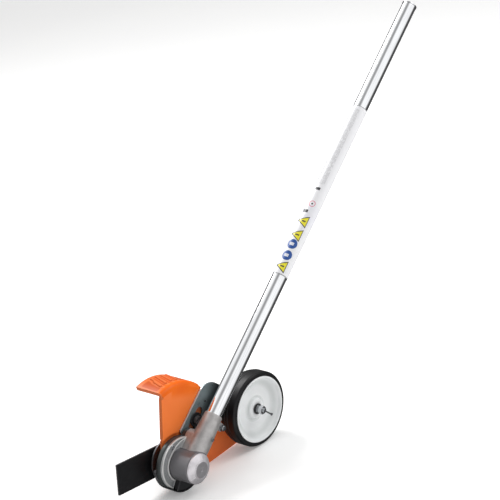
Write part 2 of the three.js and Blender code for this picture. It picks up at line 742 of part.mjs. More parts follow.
function wheelParts() {
  const rimSeat = RIM_R - 0.9;
  const lip = WHEEL_FRONT - 1.4;
  const floor = WHEEL_FRONT - DISH_DEPTH;
  const webBack = floor - 4;
  const boss = WHEEL_FRONT - 7;
  const bore = AXLE_R + 1.6;
  const disc = turned([
    [bore, WHEEL_BACK - 0.4],
    [14, WHEEL_BACK - 0.4],
    [14, webBack],
    [RIM_R - 4, webBack],
    [RIM_R - 4, WHEEL_BACK + 1],
    [rimSeat, WHEEL_BACK + 1],
    [rimSeat, lip],
    [RIM_R, lip],
    [RIM_R, WHEEL_FRONT],
    [RIM_R - 2.7, WHEEL_FRONT],
    [37, floor],
    [17, floor],
    [16, boss],
    [bore, boss],
  ], 40);
  const tyre = turned([
    [rimSeat + GAP, WHEEL_BACK],
    [TYRE_EDGE_R, WHEEL_BACK],
    [TYRE_R - 2, WHEEL_BACK + 5],
    [TYRE_R, WHEEL_BACK + 12],
    [TYRE_R, lip - 13],
    [TYRE_R - 2, lip - 6],
    [TYRE_EDGE_R, lip - GAP],
    [rimSeat + GAP, lip - GAP],
  ], 48);
  const bush = ring(AXLE_R + GAP, bore - GAP, WHEEL_BACK - 0.2, boss - 0.2, 20);
  return [
    mesh('wheel_disc', disc, WHITE_PLASTIC),
    mesh('tyre', tyre, RUBBER),
    mesh('wheel_bush', bush, BRONZE),
  ];
}

// ---- blade and output shaft ----

function bladeParts() {
  const far = BLADE_NEAR_FACE - BLADE_THICKNESS;
  const outline = new THREE.Shape();
  const [halfLength, halfWidth] = [BLADE_LENGTH / 2, BLADE_WIDTH / 2];
  outline.moveTo(-halfLength, -halfWidth);
  outline.lineTo(halfLength, -halfWidth);
  outline.lineTo(halfLength, halfWidth);
  outline.lineTo(-halfLength, halfWidth);
  outline.holes.push(holePath(0, 0, SHAFT_R + GAP));
  const flange = turned([
    [SHAFT_R + GAP, BLADE_NEAR_FACE + GAP],
    [18, BLADE_NEAR_FACE + GAP],
    [18, -50],
    [FLANGE_R - 2, -50],
    [FLANGE_R, -47.5],
    [FLANGE_R, -45.5],
    [12, -45.5],
    [12, -36],
    [SHAFT_R + GAP, -36],
  ], 28);
  const washer = turned([
    [SHAFT_R + GAP, far - GAP - 3],
    [14, far - GAP - 3],
    [19, far - GAP - 1.2],
    [19, far - GAP],
    [SHAFT_R + GAP, far - GAP],
  ], 20);
  const nutTop = far - 2 * GAP - 3;
  return [
    mesh('edger_blade', slab(outline, far, BLADE_NEAR_FACE, 12), BLACK_STEEL),
    mesh('blade_flange', flange, STEEL),
    mesh('blade_washer', washer, STEEL),
    mesh('blade_nut', hexagon(17, nutTop - 8, nutTop, SHAFT_R + GAP), ZINC),
  ];
}

function outputShaftParts() {
  const end = CAP_BEARING_Y + BIG_BEARING.width - GAP;
  const phase = rad(90 + TUBE_LEAN);
  return [
    mesh('output_shaft', rod(SHAFT_R, SHAFT_END, end, 24), STEEL),
    mesh('bevel_gear', bevelGear(GEAR_TEETH, PINION_TEETH, phase, 4, SHAFT_R + GAP), STEEL),
    mesh('gear_collar', ring(SHAFT_R + GAP, 7.4, 3.6, 5.2, 20), STEEL),
  ];
}

// The long shaft in the tube, with its pinion and its square end, in the tube's frame.
function driveParts() {
  const phase = rad(-90 + 180 / PINION_TEETH);
  const squareStart = TUBE_END - 14;
  const square = box(6.4, 12, 6.4, 0, squareStart + GAP + 6, 0);
  return [
    mesh('drive_shaft', rod(DRIVE_R, 11.5, squareStart, 20), STEEL),
    mesh('bevel_pinion', bevelGear(PINION_TEETH, GEAR_TEETH, phase, 2.9, DRIVE_R + GAP), STEEL),
    mesh('shaft_square_end', square, STEEL),
  ];
}

// ---- assembly ----

const capBearing = bearing('cap_bearing', BIG_BEARING, CAP_BEARING_Y);
const outputBearing = bearing('output_bearing', BIG_BEARING, OUTPUT_BEARING_Y);
const inputBearing = bearing('input_bearing', SMALL_BEARING, INPUT_BEARING_S);

const tubeGroup = new THREE.Group();
tubeGroup.quaternion.setFromRotationMatrix(tubeMatrix);
tubeGroup.add(...tubeParts(), ...neckFasteners(), ...driveParts(), ...guideParts(), carrierPlate());
tubeGroup.add(inputBearing.outer, inputBearing.inner, inputBearing.cage);

const wheelGroup = new THREE.Group();
wheelGroup.position.set(WHEEL_X, 0, WHEEL_Z);
wheelGroup.add(...axleParts(), ...wheelParts());

const bladeGroup = new THREE.Group();
bladeGroup.rotation.y = -rad(BLADE_PITCH);
bladeGroup.add(...bladeParts());

const hubGroup = new THREE.Group();
hubGroup.position.set(0, 0, HUB_HEIGHT);
hubGroup.add(gearboxHousing(), gearboxCap(), ...sealAndPlug(), ...guardParts(), ...skidShoe());
hubGroup.add(capBearing.outer, capBearing.inner, capBearing.cage);
hubGroup.add(outputBearing.outer, outputBearing.inner, outputBearing.cage);
hubGroup.add(...outputShaftParts(), tubeGroup, wheelGroup, bladeGroup);

// The origin is moved to the middle of the footprint, on the ground.
const edger = new THREE.Group();
edger.add(hubGroup);
edger.updateMatrixWorld(true);
const bounds = new THREE.Box3().setFromObject(edger, true);
const middle = bounds.getCenter(new THREE.Vector3());
edger.position.set(-middle.x, -middle.y, -bounds.min.z);

export default edger;
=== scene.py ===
"""Lawn edger attachment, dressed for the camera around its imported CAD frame.

Shapes are made in millimetres about the blade shaft's hub, the wheel's centre or the
drive tube's own axes, and are placed in the row frame in metres. X is the way the edger
travels, Y points to the gearbox cap's side and Z is up.
"""
import json
import logging
import math
from dataclasses import dataclass
from enum import Enum
from typing import Any, Iterable, Sequence

import bmesh
import bpy
from mathutils import Matrix, Vector


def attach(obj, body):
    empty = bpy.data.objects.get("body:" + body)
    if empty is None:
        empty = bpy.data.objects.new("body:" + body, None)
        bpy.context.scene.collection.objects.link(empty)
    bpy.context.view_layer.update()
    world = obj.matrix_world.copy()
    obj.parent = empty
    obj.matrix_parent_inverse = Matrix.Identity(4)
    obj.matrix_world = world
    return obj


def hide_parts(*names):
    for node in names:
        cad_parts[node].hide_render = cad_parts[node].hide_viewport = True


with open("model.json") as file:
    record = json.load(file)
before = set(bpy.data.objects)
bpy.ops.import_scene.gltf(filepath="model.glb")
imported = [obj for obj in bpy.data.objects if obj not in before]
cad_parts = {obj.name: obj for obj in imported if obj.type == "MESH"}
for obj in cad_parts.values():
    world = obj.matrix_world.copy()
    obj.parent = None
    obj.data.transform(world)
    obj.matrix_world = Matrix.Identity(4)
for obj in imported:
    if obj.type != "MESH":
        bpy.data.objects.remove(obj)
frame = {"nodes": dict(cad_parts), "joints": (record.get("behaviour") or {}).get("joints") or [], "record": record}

LOG = logging.getLogger("lawn_edger")
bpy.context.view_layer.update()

MM = 0.001
JOINTS = {joint["name"]: joint for joint in frame["joints"]}
HUB = Vector(JOINTS["blade_spin"]["pos_m"])
WHEEL_CENTRE = Vector(JOINTS["wheel_spin"]["pos_m"])
TUBE_AXIS = Vector(JOINTS["drive_spin"]["axis"]).normalized()
TUBE_LEAN = math.atan2(-TUBE_AXIS.x, TUBE_AXIS.z)
BLADE_PITCH = math.radians(7.5)

ROOF_CENTRE = (-20.0, 35.0)
ROOF_RADIUS = 88.3
ROOF_FRONT = 76.0
NOSE_RADIUS = 34.0
NOSE_TOP = 56.0
SCREW_CIRCLE = 21.0
SCREW_ANGLES = (80.0, 200.0, 320.0)
RIVET_CIRCLE = 36.0
RIVET_ANGLES = (-140.0, -40.0)
GUIDE_ALONG = 74.5

Point = tuple[float, ...]
Colour = tuple[float, float, float]


def grounded(centre: Vector, turn: float = 0.0) -> Matrix:
    """A millimetre frame about a point in metres, turned about Y by an angle."""
    return Matrix.Translation(centre) @ Matrix.Rotation(-turn, 4, "Y") @ Matrix.Scale(MM, 4)


HUB_PLACE = grounded(HUB)
TUBE_PLACE = grounded(HUB, TUBE_LEAN)
WHEEL_PLACE = grounded(WHEEL_CENTRE)
BLADE_PLACE = grounded(HUB, BLADE_PITCH)
TUBE_TURN = Matrix.Rotation(-TUBE_LEAN, 4, "Y")


class Body(Enum):
    """The CAD bodies that pieces ride on."""

    FRAME = "frame"
    ROTOR = "blade_rotor"
    DRIVE = "drive_line"
    CARRIER = "wheel_carrier"
    WHEEL = "depth_wheel"


class Slot(Enum):
    """The record's material slots."""

    TUBE = "aluminium_tube"
    LABEL = "label_print"
    CAST = "cast_grey"
    CAP = "cap_grey"
    STEEL = "steel"
    ZINC = "zinc"
    PLATE = "plate_zinc"
    BLACK = "black_steel"
    ORANGE = "orange_plastic"
    RUBBER = "rubber"
    TYRE = "tyre_rubber"
    WHITE = "white_plastic"
    BRONZE = "bronze"


class Axis(Enum):
    """The local axis that a turned shape is spun about."""

    Y = "Y"
    Z = "Z"

    def point(self, radius: float, height: float) -> Vector:
        """A profile point at a radius and a height along the axis."""
        return Vector((radius, height, 0)) if self is Axis.Y else Vector((radius, 0, height))

    def direction(self) -> Vector:
        """The axis as a unit vector."""
        return Vector((0, 1, 0)) if self is Axis.Y else Vector((0, 0, 1))


# ---- outlines ----


def polar(radius: float, degrees: float, centre: Point = (0.0, 0.0)) -> Point:
    """The point at a radius and an angle about a centre."""
    angle = math.radians(degrees)
    return (centre[0] + radius * math.cos(angle), centre[1] + radius * math.sin(angle))


def arc(radius: float, start: float, end: float, steps: int, centre: Point = (0.0, 0.0)) -> list[Point]:
    """Points along an arc.

    Args:
        radius: The arc's radius.
        start: Where it starts, in degrees.
        end: Where it ends, in degrees.
        steps: How many chords it has.
        centre: The middle of its circle.

    Returns:
        One point more than there are steps.
    """
    return [polar(radius, start + (end - start) * i / steps, centre) for i in range(steps + 1)]


def rounded(corners: Sequence[Point], closed: bool = True, steps: int = 5) -> list[Point]:
    """Rounds the corners of an outline or a profile.

    Args:
        corners: Points, each with an optional third value, the radius of its corner.
        closed: Whether the last corner joins the first.
        steps: How many chords each round corner has.

    Returns:
        The points with each rounded corner replaced by a curve.
    """
    result: list[Point] = []
    for i, corner in enumerate(corners):
        here = Vector(corner[:2])
        radius = corner[2] if len(corner) > 2 else 0.0
        inner = closed or 0 < i < len(corners) - 1
        if radius <= 0 or not inner:
            result.append(tuple(here))
            continue
        back = Vector(corners[i - 1][:2]) - here
        ahead = Vector(corners[(i + 1) % len(corners)][:2]) - here
        half = back.angle(ahead) / 2
        reach = min(radius / math.tan(half), back.length * 0.49, ahead.length * 0.49)
        first, last = here + back.normalized() * reach, here + ahead.normalized() * reach
        for k in range(steps + 1):
            t = k / steps
            result.append(tuple(first * (1 - t) ** 2 + here * 2 * t * (1 - t) + last * t**2))
    return result


def to_tube(x: float, z: float) -> Point:
    """A point of the hub's X and Z as distance ahead of the tube's axis and along it."""
    turned = TUBE_TURN.inverted() @ Vector((x, 0, z))
    return (turned.x, turned.z)


# ---- shapes ----


class Shape:
    """A mesh in the making, in millimetres, with the operators that the pieces share."""

    def __init__(self) -> None:
        """Starts with an empty mesh."""
        self.bm = bmesh.new()

    @classmethod
    def turned(
        cls,
        profile: Sequence[Point],
        axis: Axis = Axis.Y,
        steps: int = 96,
        start: float = 0.0,
        sweep: float = 360.0,
    ) -> "Shape":
        """Spins a profile about an axis.

        Args:
            profile: Radius and height of each point. One that starts off the axis is closed.
            axis: What it spins about.
            steps: How many facets go round.
            start: Where the sweep starts, in degrees.
            sweep: How far it goes, in degrees.

        Returns:
            The closed shape.
        """
        shape = cls()
        bm = shape.bm
        verts = [bm.verts.new(axis.point(*point[:2])) for point in profile]
        ring = verts[1:] + verts[:1] if profile[0][0] > 0 else verts[1:]
        edges = [bm.edges.new(pair) for pair in zip(verts, ring)]
        whole = sweep >= 360.0
        turn = math.radians(sweep) * (-1 if axis is Axis.Y else 1)
        spin = {"cent": Vector(), "dvec": Vector(), "axis": axis.direction(), "steps": steps}
        bmesh.ops.spin(bm, geom=verts + edges, angle=turn, use_merge=whole, **spin)
        bmesh.ops.remove_doubles(bm, verts=bm.verts, dist=1e-4)
        if not whole:
            bmesh.ops.holes_fill(bm, edges=[e for e in bm.edges if e.is_boundary], sides=0)
            first = math.radians(start) * (-1 if axis is Axis.Y else 1)
            shape.move(Matrix.Rotation(first, 4, axis.value))
        return shape.outward()

    @classmethod
    def prism(
        cls, outline: Sequence[Point], low: float, high: float, holes: Iterable[Sequence[Point]] = ()
    ) -> "Shape":
        """Makes an outline in X and Z thick along Y.

        Args:
            outline: The outer loop.
            low: The lower Y.
            high: The higher Y.
            holes: Inner loops.

        Returns:
            The closed shape.
        """
        shape = cls()
        bm = shape.bm
        edges = []
        for loop in (outline, *holes):
            verts = [bm.verts.new((point[0], low, point[1])) for point in loop]
            edges += [bm.edges.new(pair) for pair in zip(verts, verts[1:] + verts[:1])]
        bmesh.ops.triangle_fill(bm, edges=edges, use_beauty=True, use_dissolve=False)
        grown = bmesh.ops.extrude_face_region(bm, geom=bm.faces[:])["geom"]
        risen = [item for item in grown if isinstance(item, bmesh.types.BMVert)]
        bmesh.ops.translate(bm, verts=risen, vec=(0, high - low, 0))
        return shape.outward()

    @classmethod
    def block(cls, size: Point, centre: Point) -> "Shape":
        """A block of a size about a centre."""
        shape = cls()
        place = Matrix.Translation(centre) @ Matrix.Diagonal((*size, 1))
        bmesh.ops.create_cube(shape.bm, size=1, matrix=place)
        return shape

    @classmethod
    def hexagon(cls, across: float, low: float, high: float) -> "Shape":
        """A hexagonal bar along Y."""
        return cls.prism([polar(across / math.sqrt(3), 60 * i) for i in range(6)], low, high)

    def vertex(self, point: Sequence[float], y: float) -> bmesh.types.BMVert:
        """Adds a vertex at a point of X and Z and a level of Y."""
        return self.bm.verts.new((point[0], y, point[1]))

    def outward(self) -> "Shape":
        """Turns every face outwards."""
        bmesh.ops.recalc_face_normals(self.bm, faces=self.bm.faces)
        return self

    def move(self, matrix: Matrix) -> "Shape":
        """Moves the whole shape by a matrix."""
        bmesh.ops.transform(self.bm, matrix=matrix, verts=self.bm.verts)
        return self

    def shift(self, x: float = 0.0, y: float = 0.0, z: float = 0.0) -> "Shape":
        """Moves the whole shape along the axes."""
        return self.move(Matrix.Translation((x, y, z)))

    def ease(self, width: float, segments: int = 2, degrees: float = 30.0) -> "Shape":
        """Rounds every edge that is sharper than an angle.

        Args:
            width: How far the rounding reaches from the edge.
            segments: How many facets it has.
            degrees: The least angle between two faces that counts as sharp.

        Returns:
            The same shape.
        """
        limit = math.radians(degrees)
        sharp = [e for e in self.bm.edges if len(e.link_faces) == 2 and e.calc_face_angle(0) > limit]
        bmesh.ops.bevel(
            self.bm,
            geom=sharp,
            offset=width,
            offset_type="OFFSET",
            affect="EDGES",
            segments=segments,
            profile=0.5,
            material=-1,
            clamp_overlap=True,
        )
        return self

    def join(self, *others: "Shape") -> "Shape":
        """Adds other shapes' meshes to this one, without merging them."""
        for other in others:
            mesh = bpy.data.meshes.new("joining")
            other.bm.to_mesh(mesh)
            self.bm.from_mesh(mesh)
            bpy.data.meshes.remove(mesh)
        return self

    def through(self, kind: str, **settings: Any) -> "Shape":
        """Runs the mesh through one modifier and keeps the result.

        Args:
            kind: The modifier's type.
            settings: Its settings. A Shape is handed over as an object.

        Returns:
            The same shape.
        """
        made = [self._object()]
        modifier = made[0].modifiers.new("making", kind)
        for name, value in settings.items():
            if isinstance(value, Shape):
                made.append(value._object())
                value = made[-1]
            setattr(modifier, name, value)
        depsgraph = bpy.context.evaluated_depsgraph_get()
        result = bpy.data.meshes.new_from_object(made[0].evaluated_get(depsgraph))
        self.bm.clear()
        self.bm.from_mesh(result)
        for item in made:
            bpy.data.meshes.remove(item.data)
        bpy.data.meshes.remove(result)
        return self

    def _object(self) -> bpy.types.Object:
        """A passing object that holds the mesh for a modifier."""
        mesh = bpy.data.meshes.new("making")
        self.bm.to_mesh(mesh)
        item = bpy.data.objects.new("making", mesh)
        bpy.context.scene.collection.objects.link(item)
        return item

    def cut(self, *cutters: "Shape") -> "Shape":
        """Takes other shapes away from this one."""
        for cutter in cutters:
            self.through("BOOLEAN", operation="DIFFERENCE", solver="EXACT", object=cutter)
        return self

    def within(self, other: "Shape") -> "Shape":
        """Keeps what lies inside another shape."""
        return self.through("BOOLEAN", operation="INTERSECT", solver="EXACT", object=other)

    def cast(self, voxel: float, rounds: int) -> "Shape":
        """Melts joined shapes into one skin, as a casting is.

        Args:
            voxel: The size of the skin's cells.
            rounds: How often the skin is smoothed, which makes the fillets.

        Returns:
            The same shape.
        """
        self.through("REMESH", mode="VOXEL", voxel_size=voxel, adaptivity=0.0)
        for _ in range(rounds):
            bmesh.ops.smooth_vert(
                self.bm, verts=self.bm.verts, factor=0.5, use_axis_x=True, use_axis_y=True, use_axis_z=True
            )
        return self


# ---- shader graphs ----


class Value:
    """A shader socket that takes part in Python arithmetic."""

    def __init__(self, graph: "Graph", socket: bpy.types.NodeSocket) -> None:
        """Wraps an output socket of a graph."""
        self.graph = graph
        self.socket = socket

    def math(self, operation: str, *inputs: Any) -> "Value":
        """Adds a Math node."""
        return self.graph.node("ShaderNodeMath", {"operation": operation}, dict(enumerate(inputs)))

    def __add__(self, other: Any) -> "Value":
        """self + other."""
        return self.math("ADD", self, other)

    def __sub__(self, other: Any) -> "Value":
        """self - other."""
        return self.math("SUBTRACT", self, other)

    def __rsub__(self, other: Any) -> "Value":
        """other - self."""
        return self.math("SUBTRACT", other, self)

    def __mul__(self, other: Any) -> "Value":
        """self * other."""
        return self.math("MULTIPLY", self, other)

    __radd__ = __add__
    __rmul__ = __mul__

    def __lt__(self, other: Any) -> "Value":
        """One where self is below other."""
        return self.math("LESS_THAN", self, other)

    def __gt__(self, other: Any) -> "Value":
        """One where self is above other."""
        return self.math("GREATER_THAN", self, other)

    def __abs__(self) -> "Value":
        """The size of self."""
        return self.math("ABSOLUTE", self)

    def length(self, other: "Value") -> "Value":
        """The length of the vector whose two sides are self and other."""
        return self.math("SQRT", self * self + other * other)

    def band(self, low: float, high: float) -> "Value":
        """One between two values and nothing outside them."""
        return (self > low) * (self < high)

    def ramp(self, low: float, high: float) -> "Value":
        """Rises smoothly from nothing at low to one at high."""
        settings = {"interpolation_type": "SMOOTHSTEP"}
        return self.graph.node("ShaderNodeMapRange", settings, {0: self, 1: low, 2: high})

    def ramp_degrees(self, low: float, high: float) -> "Value":
        """Rises as a ramp does, between two angles in degrees."""
        return self.ramp(math.radians(low), math.radians(high))


class Graph:
    """The node graph of one material or of the sky."""

    def __init__(self, owner: bpy.types.ID) -> None:
        """Empties the graph of a new material or world."""
        self.owner = owner
        owner.use_nodes = True
        self.tree = owner.node_tree
        self.tree.nodes.clear()

    @classmethod
    def material(cls, name: str) -> "Graph":
        """Starts the graph of a new material."""
        return cls(bpy.data.materials.new(name))

    def node(
        self, kind: str, settings: dict[str, Any] | None = None, inputs: dict | None = None, output: Any = 0
    ) -> Value:
        """Adds a node.

        Args:
            kind: The node's type.
            settings: Properties, set before anything else.
            inputs: A value or a link for each named or numbered socket.
            output: The socket that is wanted from it.

        Returns:
            That output as a Value.
        """
        node = self.tree.nodes.new(kind)
        for name, value in (settings or {}).items():
            setattr(node, name, value)
        for key, value in (inputs or {}).items():
            if isinstance(value, Value):
                self.tree.links.new(value.socket, node.inputs[key])
            else:
                node.inputs[key].default_value = value
        return Value(self, node.outputs[output])

    def position(self, place: Matrix | None = None) -> Value:
        """Object coordinates in millimetres, in the frame of a place such as the tube's.

        Args:
            place: A millimetre frame, or None for the row's own axes.

        Returns:
            A vector.
        """
        spot = self.node("ShaderNodeTexCoord", output="Object")
        inverse = (place or Matrix.Scale(MM, 4)).inverted()
        location, rotation, scale = inverse.decompose()
        inputs = {"Vector": spot, "Location": location, "Rotation": rotation.to_euler(), "Scale": scale}
        return self.node("ShaderNodeMapping", {"vector_type": "POINT"}, inputs)

    def axes(self, vector: Value) -> tuple[Value, Value, Value]:
        """The three parts of a vector."""
        parts = self.node("ShaderNodeSeparateXYZ", None, {0: vector})
        outputs = parts.socket.node.outputs
        return Value(self, outputs[0]), Value(self, outputs[1]), Value(self, outputs[2])

    def stretched(self, vector: Value, scale: Point) -> Value:
        """A vector scaled along each axis."""
        return self.node("ShaderNodeVectorMath", {"operation": "MULTIPLY"}, {0: vector, 1: scale})

    def dot(self, vector: Value, axis: Vector) -> Value:
        """How far a vector reaches along an axis."""
        inputs = {0: vector, 1: axis}
        return self.node("ShaderNodeVectorMath", {"operation": "DOT_PRODUCT"}, inputs, output="Value")

    def noise(self, vector: Value, size: float, detail: float = 3.0, rough: float = 0.55) -> Value:
        """Noise with features of about a size in millimetres, from nothing to one."""
        inputs = {"Vector": vector, "Scale": 1 / size, "Detail": detail, "Roughness": rough}
        return self.node("ShaderNodeTexNoise", None, inputs)

    def mix(self, factor: Value | float, low: Any, high: Any) -> Value:
        """A colour between two colours."""
        full = [(*c, 1.0) if isinstance(c, tuple) else c for c in (low, high)]
        settings = {"data_type": "RGBA", "clamp_factor": True}
        return self.node("ShaderNodeMix", settings, {0: factor, 6: full[0], 7: full[1]}, output=2)

    def edges(self) -> Value:
        """How far a spot stands out from its surroundings, about a half where it is flat."""
        return self.node("ShaderNodeNewGeometry", output="Pointiness")

    def bump(self, height: Value, depth: float, strength: float = 1.0) -> Value:
        """A normal that is disturbed by a height of at most a depth in millimetres."""
        inputs = {"Height": height, "Distance": depth * MM, "Strength": strength}
        return self.node("ShaderNodeBump", None, inputs)

    def finish(self, **sockets: Any) -> bpy.types.Material:
        """Ends the graph in a Principled shader whose sockets take these values or links."""
        names = {name.replace("_", " "): value for name, value in sockets.items()}
        named = {
            key: (*value, 1.0) if isinstance(value, tuple) and len(value) == 3 else value
            for key, value in names.items()
        }
        shader = self.node("ShaderNodeBsdfPrincipled", None, named)
        self.show(shader, "ShaderNodeOutputMaterial")
        return self.owner

    def show(self, shader: Value, kind: str) -> None:
        """Joins a shader to an output of a kind."""
        output = self.tree.nodes.new(kind)
        self.tree.links.new(shader.socket, output.inputs["Surface"])


# ---- finishes ----


@dataclass(frozen=True)
class DrawnTube:
    """Bright drawn aluminium with streaks along the tube."""

    pale: Colour = (0.86, 0.87, 0.885)
    dark: Colour = (0.66, 0.67, 0.69)
    roughness: float = 0.05

    def material(self, name: str) -> bpy.types.Material:
        """Builds the material."""
        graph = Graph.material(name)
        spot = graph.position(TUBE_PLACE)
        streaks = graph.noise(graph.stretched(spot, (1.0, 1.0, 0.008)), 0.9, 4.0)
        smudges = graph.noise(graph.stretched(spot, (1.0, 1.0, 0.2)), 9.0)
        colour = graph.mix((streaks * 0.6 + smudges * 0.4).ramp(0.35, 0.75), self.pale, self.dark)
        roughness = self.roughness + smudges * 0.05 + streaks * 0.03
        return graph.finish(Base_Color=colour, Metallic=1.0, Roughness=roughness)


@dataclass(frozen=True)
class Casting:
    """Painted die-cast metal with fine grain, mottling and lighter worn edges."""

    colour: Colour
    worn: Colour
    roughness: float = 0.42
    metallic: float = 0.5
    grain: float = 0.9

    def zones(self, graph: Graph, colour: Value) -> Value:
        """Tints the parts of the casting that differ, which a plain one has none of."""
        return colour

    def material(self, name: str) -> bpy.types.Material:
        """Builds the material."""
        graph = Graph.material(name)
        spot = graph.position()
        grain = graph.noise(spot, self.grain, 2.0)
        mottle = graph.noise(spot, 14.0, 4.0)
        wear = graph.edges().ramp(0.53, 0.60) * (0.35 + grain * 0.6)
        deep = tuple(c * 0.72 for c in self.colour)
        base = self.zones(graph, graph.mix(mottle.ramp(0.3, 0.7), deep, self.colour))
        colour = graph.mix(wear, base, self.worn)
        roughness = self.roughness + (grain - 0.5) * 0.16 + (mottle - 0.5) * 0.12
        normal = graph.bump(grain, 0.12, 0.5)
        return graph.finish(
            Base_Color=colour, Metallic=self.metallic, Roughness=roughness, Normal=normal
        )


@dataclass(frozen=True)
class GearboxCasting(Casting):
    """The gearbox's casting: painted shade on the barrel, the base's side and the foot's front, a pale speckled
    leaf and a painted highlight on the rims.
    """

    # barrel and side are painted shade colours; rim is a painted highlight colour
    barrel: Colour = (0.185, 0.18, 0.19)
    side: Colour = (0.055, 0.063, 0.063)
    leaf: Colour = (0.40, 0.41, 0.42)
    rim: Colour = (0.74, 0.74, 0.73)
    barrel_radius: float = 26.4
    leaf_level: float = -19.2
    rim_level: float = -18.6
    leaf_end: float = 119.0
    # foot is the painted shade colour of the foot's front
    foot: Colour = (0.022, 0.022, 0.024)
    foot_end: float = -53.5

    def zones(self, graph: Graph, colour: Value) -> Value:
        """Paints shade on the barrel, the base's side and the foot's front, speckles the leaf-shaped face and
        paints a highlight on its rims.
        """
        x, y, z = graph.axes(graph.position(HUB_PLACE))
        reach = x.length(z)
        outside = reach > self.barrel_radius
        angle = z.math("ARCTAN2", z, x)
        leaf_side = (angle < math.radians(self.leaf_end)) * (angle > math.radians(self.foot_end))
        foot_shade_mask = (angle < math.radians(self.foot_end)) * (z < -20.0) * outside
        speckle = graph.noise(graph.position(), 1.3, 2.0).ramp(0.35, 0.65)
        face = graph.mix(speckle, tuple(c * 0.78 for c in self.leaf), self.leaf)
        # painted shade on the barrel
        colour = graph.mix((y > self.leaf_level - 10) * (1.0 - outside), colour, self.barrel)
        colour = graph.mix(y.band(self.leaf_level - 1.6, self.leaf_level) * outside * leaf_side, colour, face)
        # painted highlight on the rims
        colour = graph.mix(y.band(self.rim_level, -16.0) * outside * leaf_side, colour, self.rim)
        # painted shade on the foot's front
        colour = graph.mix(foot_shade_mask * (y > self.leaf_level), colour, self.foot)
        # painted shade on the base's side
        return graph.mix((y < self.leaf_level - 1.8) * (reach > 38.0), colour, self.side)


@dataclass(frozen=True)
class CapCasting(Casting):
    """The cap's casting, whose middle flat is darkened by painted shade in soft patches."""

    # flat is the painted shade colour of the middle flat
    flat: Colour = (0.30, 0.29, 0.305)
    flat_radius: float = 13.3

    def zones(self, graph: Graph, colour: Value) -> Value:
        """Paints shade in soft patches on the middle flat."""
        x, _, z = graph.axes(graph.position(HUB_PLACE))
        patches = graph.noise(graph.position(), 5.0, 3.0)
        inside = 1.0 - x.length(z).ramp(self.flat_radius - 0.8, self.flat_radius + 0.2)
        return graph.mix(inside * (0.75 + patches * 0.4), colour, self.flat)


@dataclass(frozen=True)
class Plated:
    """Bare or plated metal with a fine mottled skin and lighter edges, partly rubbed bare and partly a painted
    highlight.
    """

    colour: Colour
    roughness: float = 0.28
    mottle: float = 3.0
    metallic: float = 1.0

    def zones(self, graph: Graph, colour: Value) -> Value:
        """Tints the parts that differ, which a plain one has none of."""
        return colour

    def material(self, name: str) -> bpy.types.Material:
        """Builds the material."""
        graph = Graph.material(name)
        spot = graph.position()
        cloud = graph.noise(spot, self.mottle, 4.0)
        fine = graph.noise(spot, 0.35, 2.0)
        deep = tuple(c * 0.7 for c in self.colour)
        # lighter edges: partly metal rubbed bare, partly a painted highlight
        edge_highlight = tuple(min(1.0, c * 1.5 + 0.15) for c in self.colour)
        base = self.zones(graph, graph.mix(cloud.ramp(0.25, 0.7), deep, self.colour))
        colour = graph.mix(graph.edges().ramp(0.53, 0.6) * 0.8, base, edge_highlight)
        roughness = self.roughness + (cloud - 0.5) * 0.16 + (fine - 0.5) * 0.1
        normal = graph.bump(fine, 0.02, 0.35)
        return graph.finish(
            Base_Color=colour, Metallic=self.metallic, Roughness=roughness, Normal=normal
        )


@dataclass(frozen=True)
class PlateZinc(Plated):
    """Blue passivated sheet, darkened by painted shade by the tube and with a painted highlight along its front
    edge.
    """

    # dark is a painted shade colour, bright a painted highlight colour
    dark: Colour = (0.035, 0.045, 0.05)
    bright: Colour = (0.93, 0.95, 0.95)
    front: float = 19.0

    def zones(self, graph: Graph, colour: Value) -> Value:
        """Paints shade on the sheet by the tube and a highlight along its front edge, by its place across the
        tube.
        """
        ahead, _, _ = graph.axes(graph.position(TUBE_PLACE))
        patches = graph.noise(graph.position(), 12.0, 3.0) * 9.0
        # painted shade towards the tube
        colour = graph.mix((ahead + patches).ramp(-12.0, self.front - 3.0), self.dark, colour)
        # painted highlight along the front edge
        return graph.mix(ahead.ramp(self.front - 0.9, self.front + 0.3), colour, self.bright)


@dataclass(frozen=True)
class Moulded:
    """Moulded plastic with a faint flow pattern, a fine skin, a painted highlight on its edges and painted shade
    in its creases.
    """

    colour: Colour
    shade: Colour
    roughness: float = 0.34
    coat: float = 0.25
    grain: float = 0.7
    # how much painted shade darkens the creases
    crease_shade_share: float = 0.7
    gloss: float = 0.28

    def zones(self, graph: Graph, colour: Value) -> Value:
        """Tints the parts of the moulding that differ, which a plain one has none of."""
        return colour

    def material(self, name: str) -> bpy.types.Material:
        """Builds the material."""
        graph = Graph.material(name)
        spot = graph.position()
        flow = graph.noise(spot, 45.0, 3.0)
        grain = graph.noise(spot, self.grain, 2.0)
        base = graph.mix(flow.ramp(0.35, 0.75) * 0.6 + grain * 0.08, self.colour, self.shade)
        base = self.zones(graph, base)
        # painted highlight on convex edges and painted shade in creases, both read from pointiness
        edge = graph.edges()
        edge_highlight = tuple(min(1.0, c * 1.15 + 0.08) for c in self.colour)
        crease_shade = tuple(c * 0.45 for c in self.shade)
        ridged = graph.mix(edge.ramp(0.52, 0.62) * 0.5, base, edge_highlight)
        colour = graph.mix((0.5 - edge).ramp(0.02, 0.12) * self.crease_shade_share, ridged, crease_shade)
        roughness = self.roughness + (flow - 0.5) * 0.1 + (grain - 0.5) * 0.08
        normal = graph.bump(grain, 0.05, 0.3)
        return graph.finish(
            Base_Color=colour,
            Roughness=roughness,
            Normal=normal,
            Coat_Weight=self.coat,
            Coat_Roughness=0.12,
            Specular_IOR_Level=self.gloss,
        )


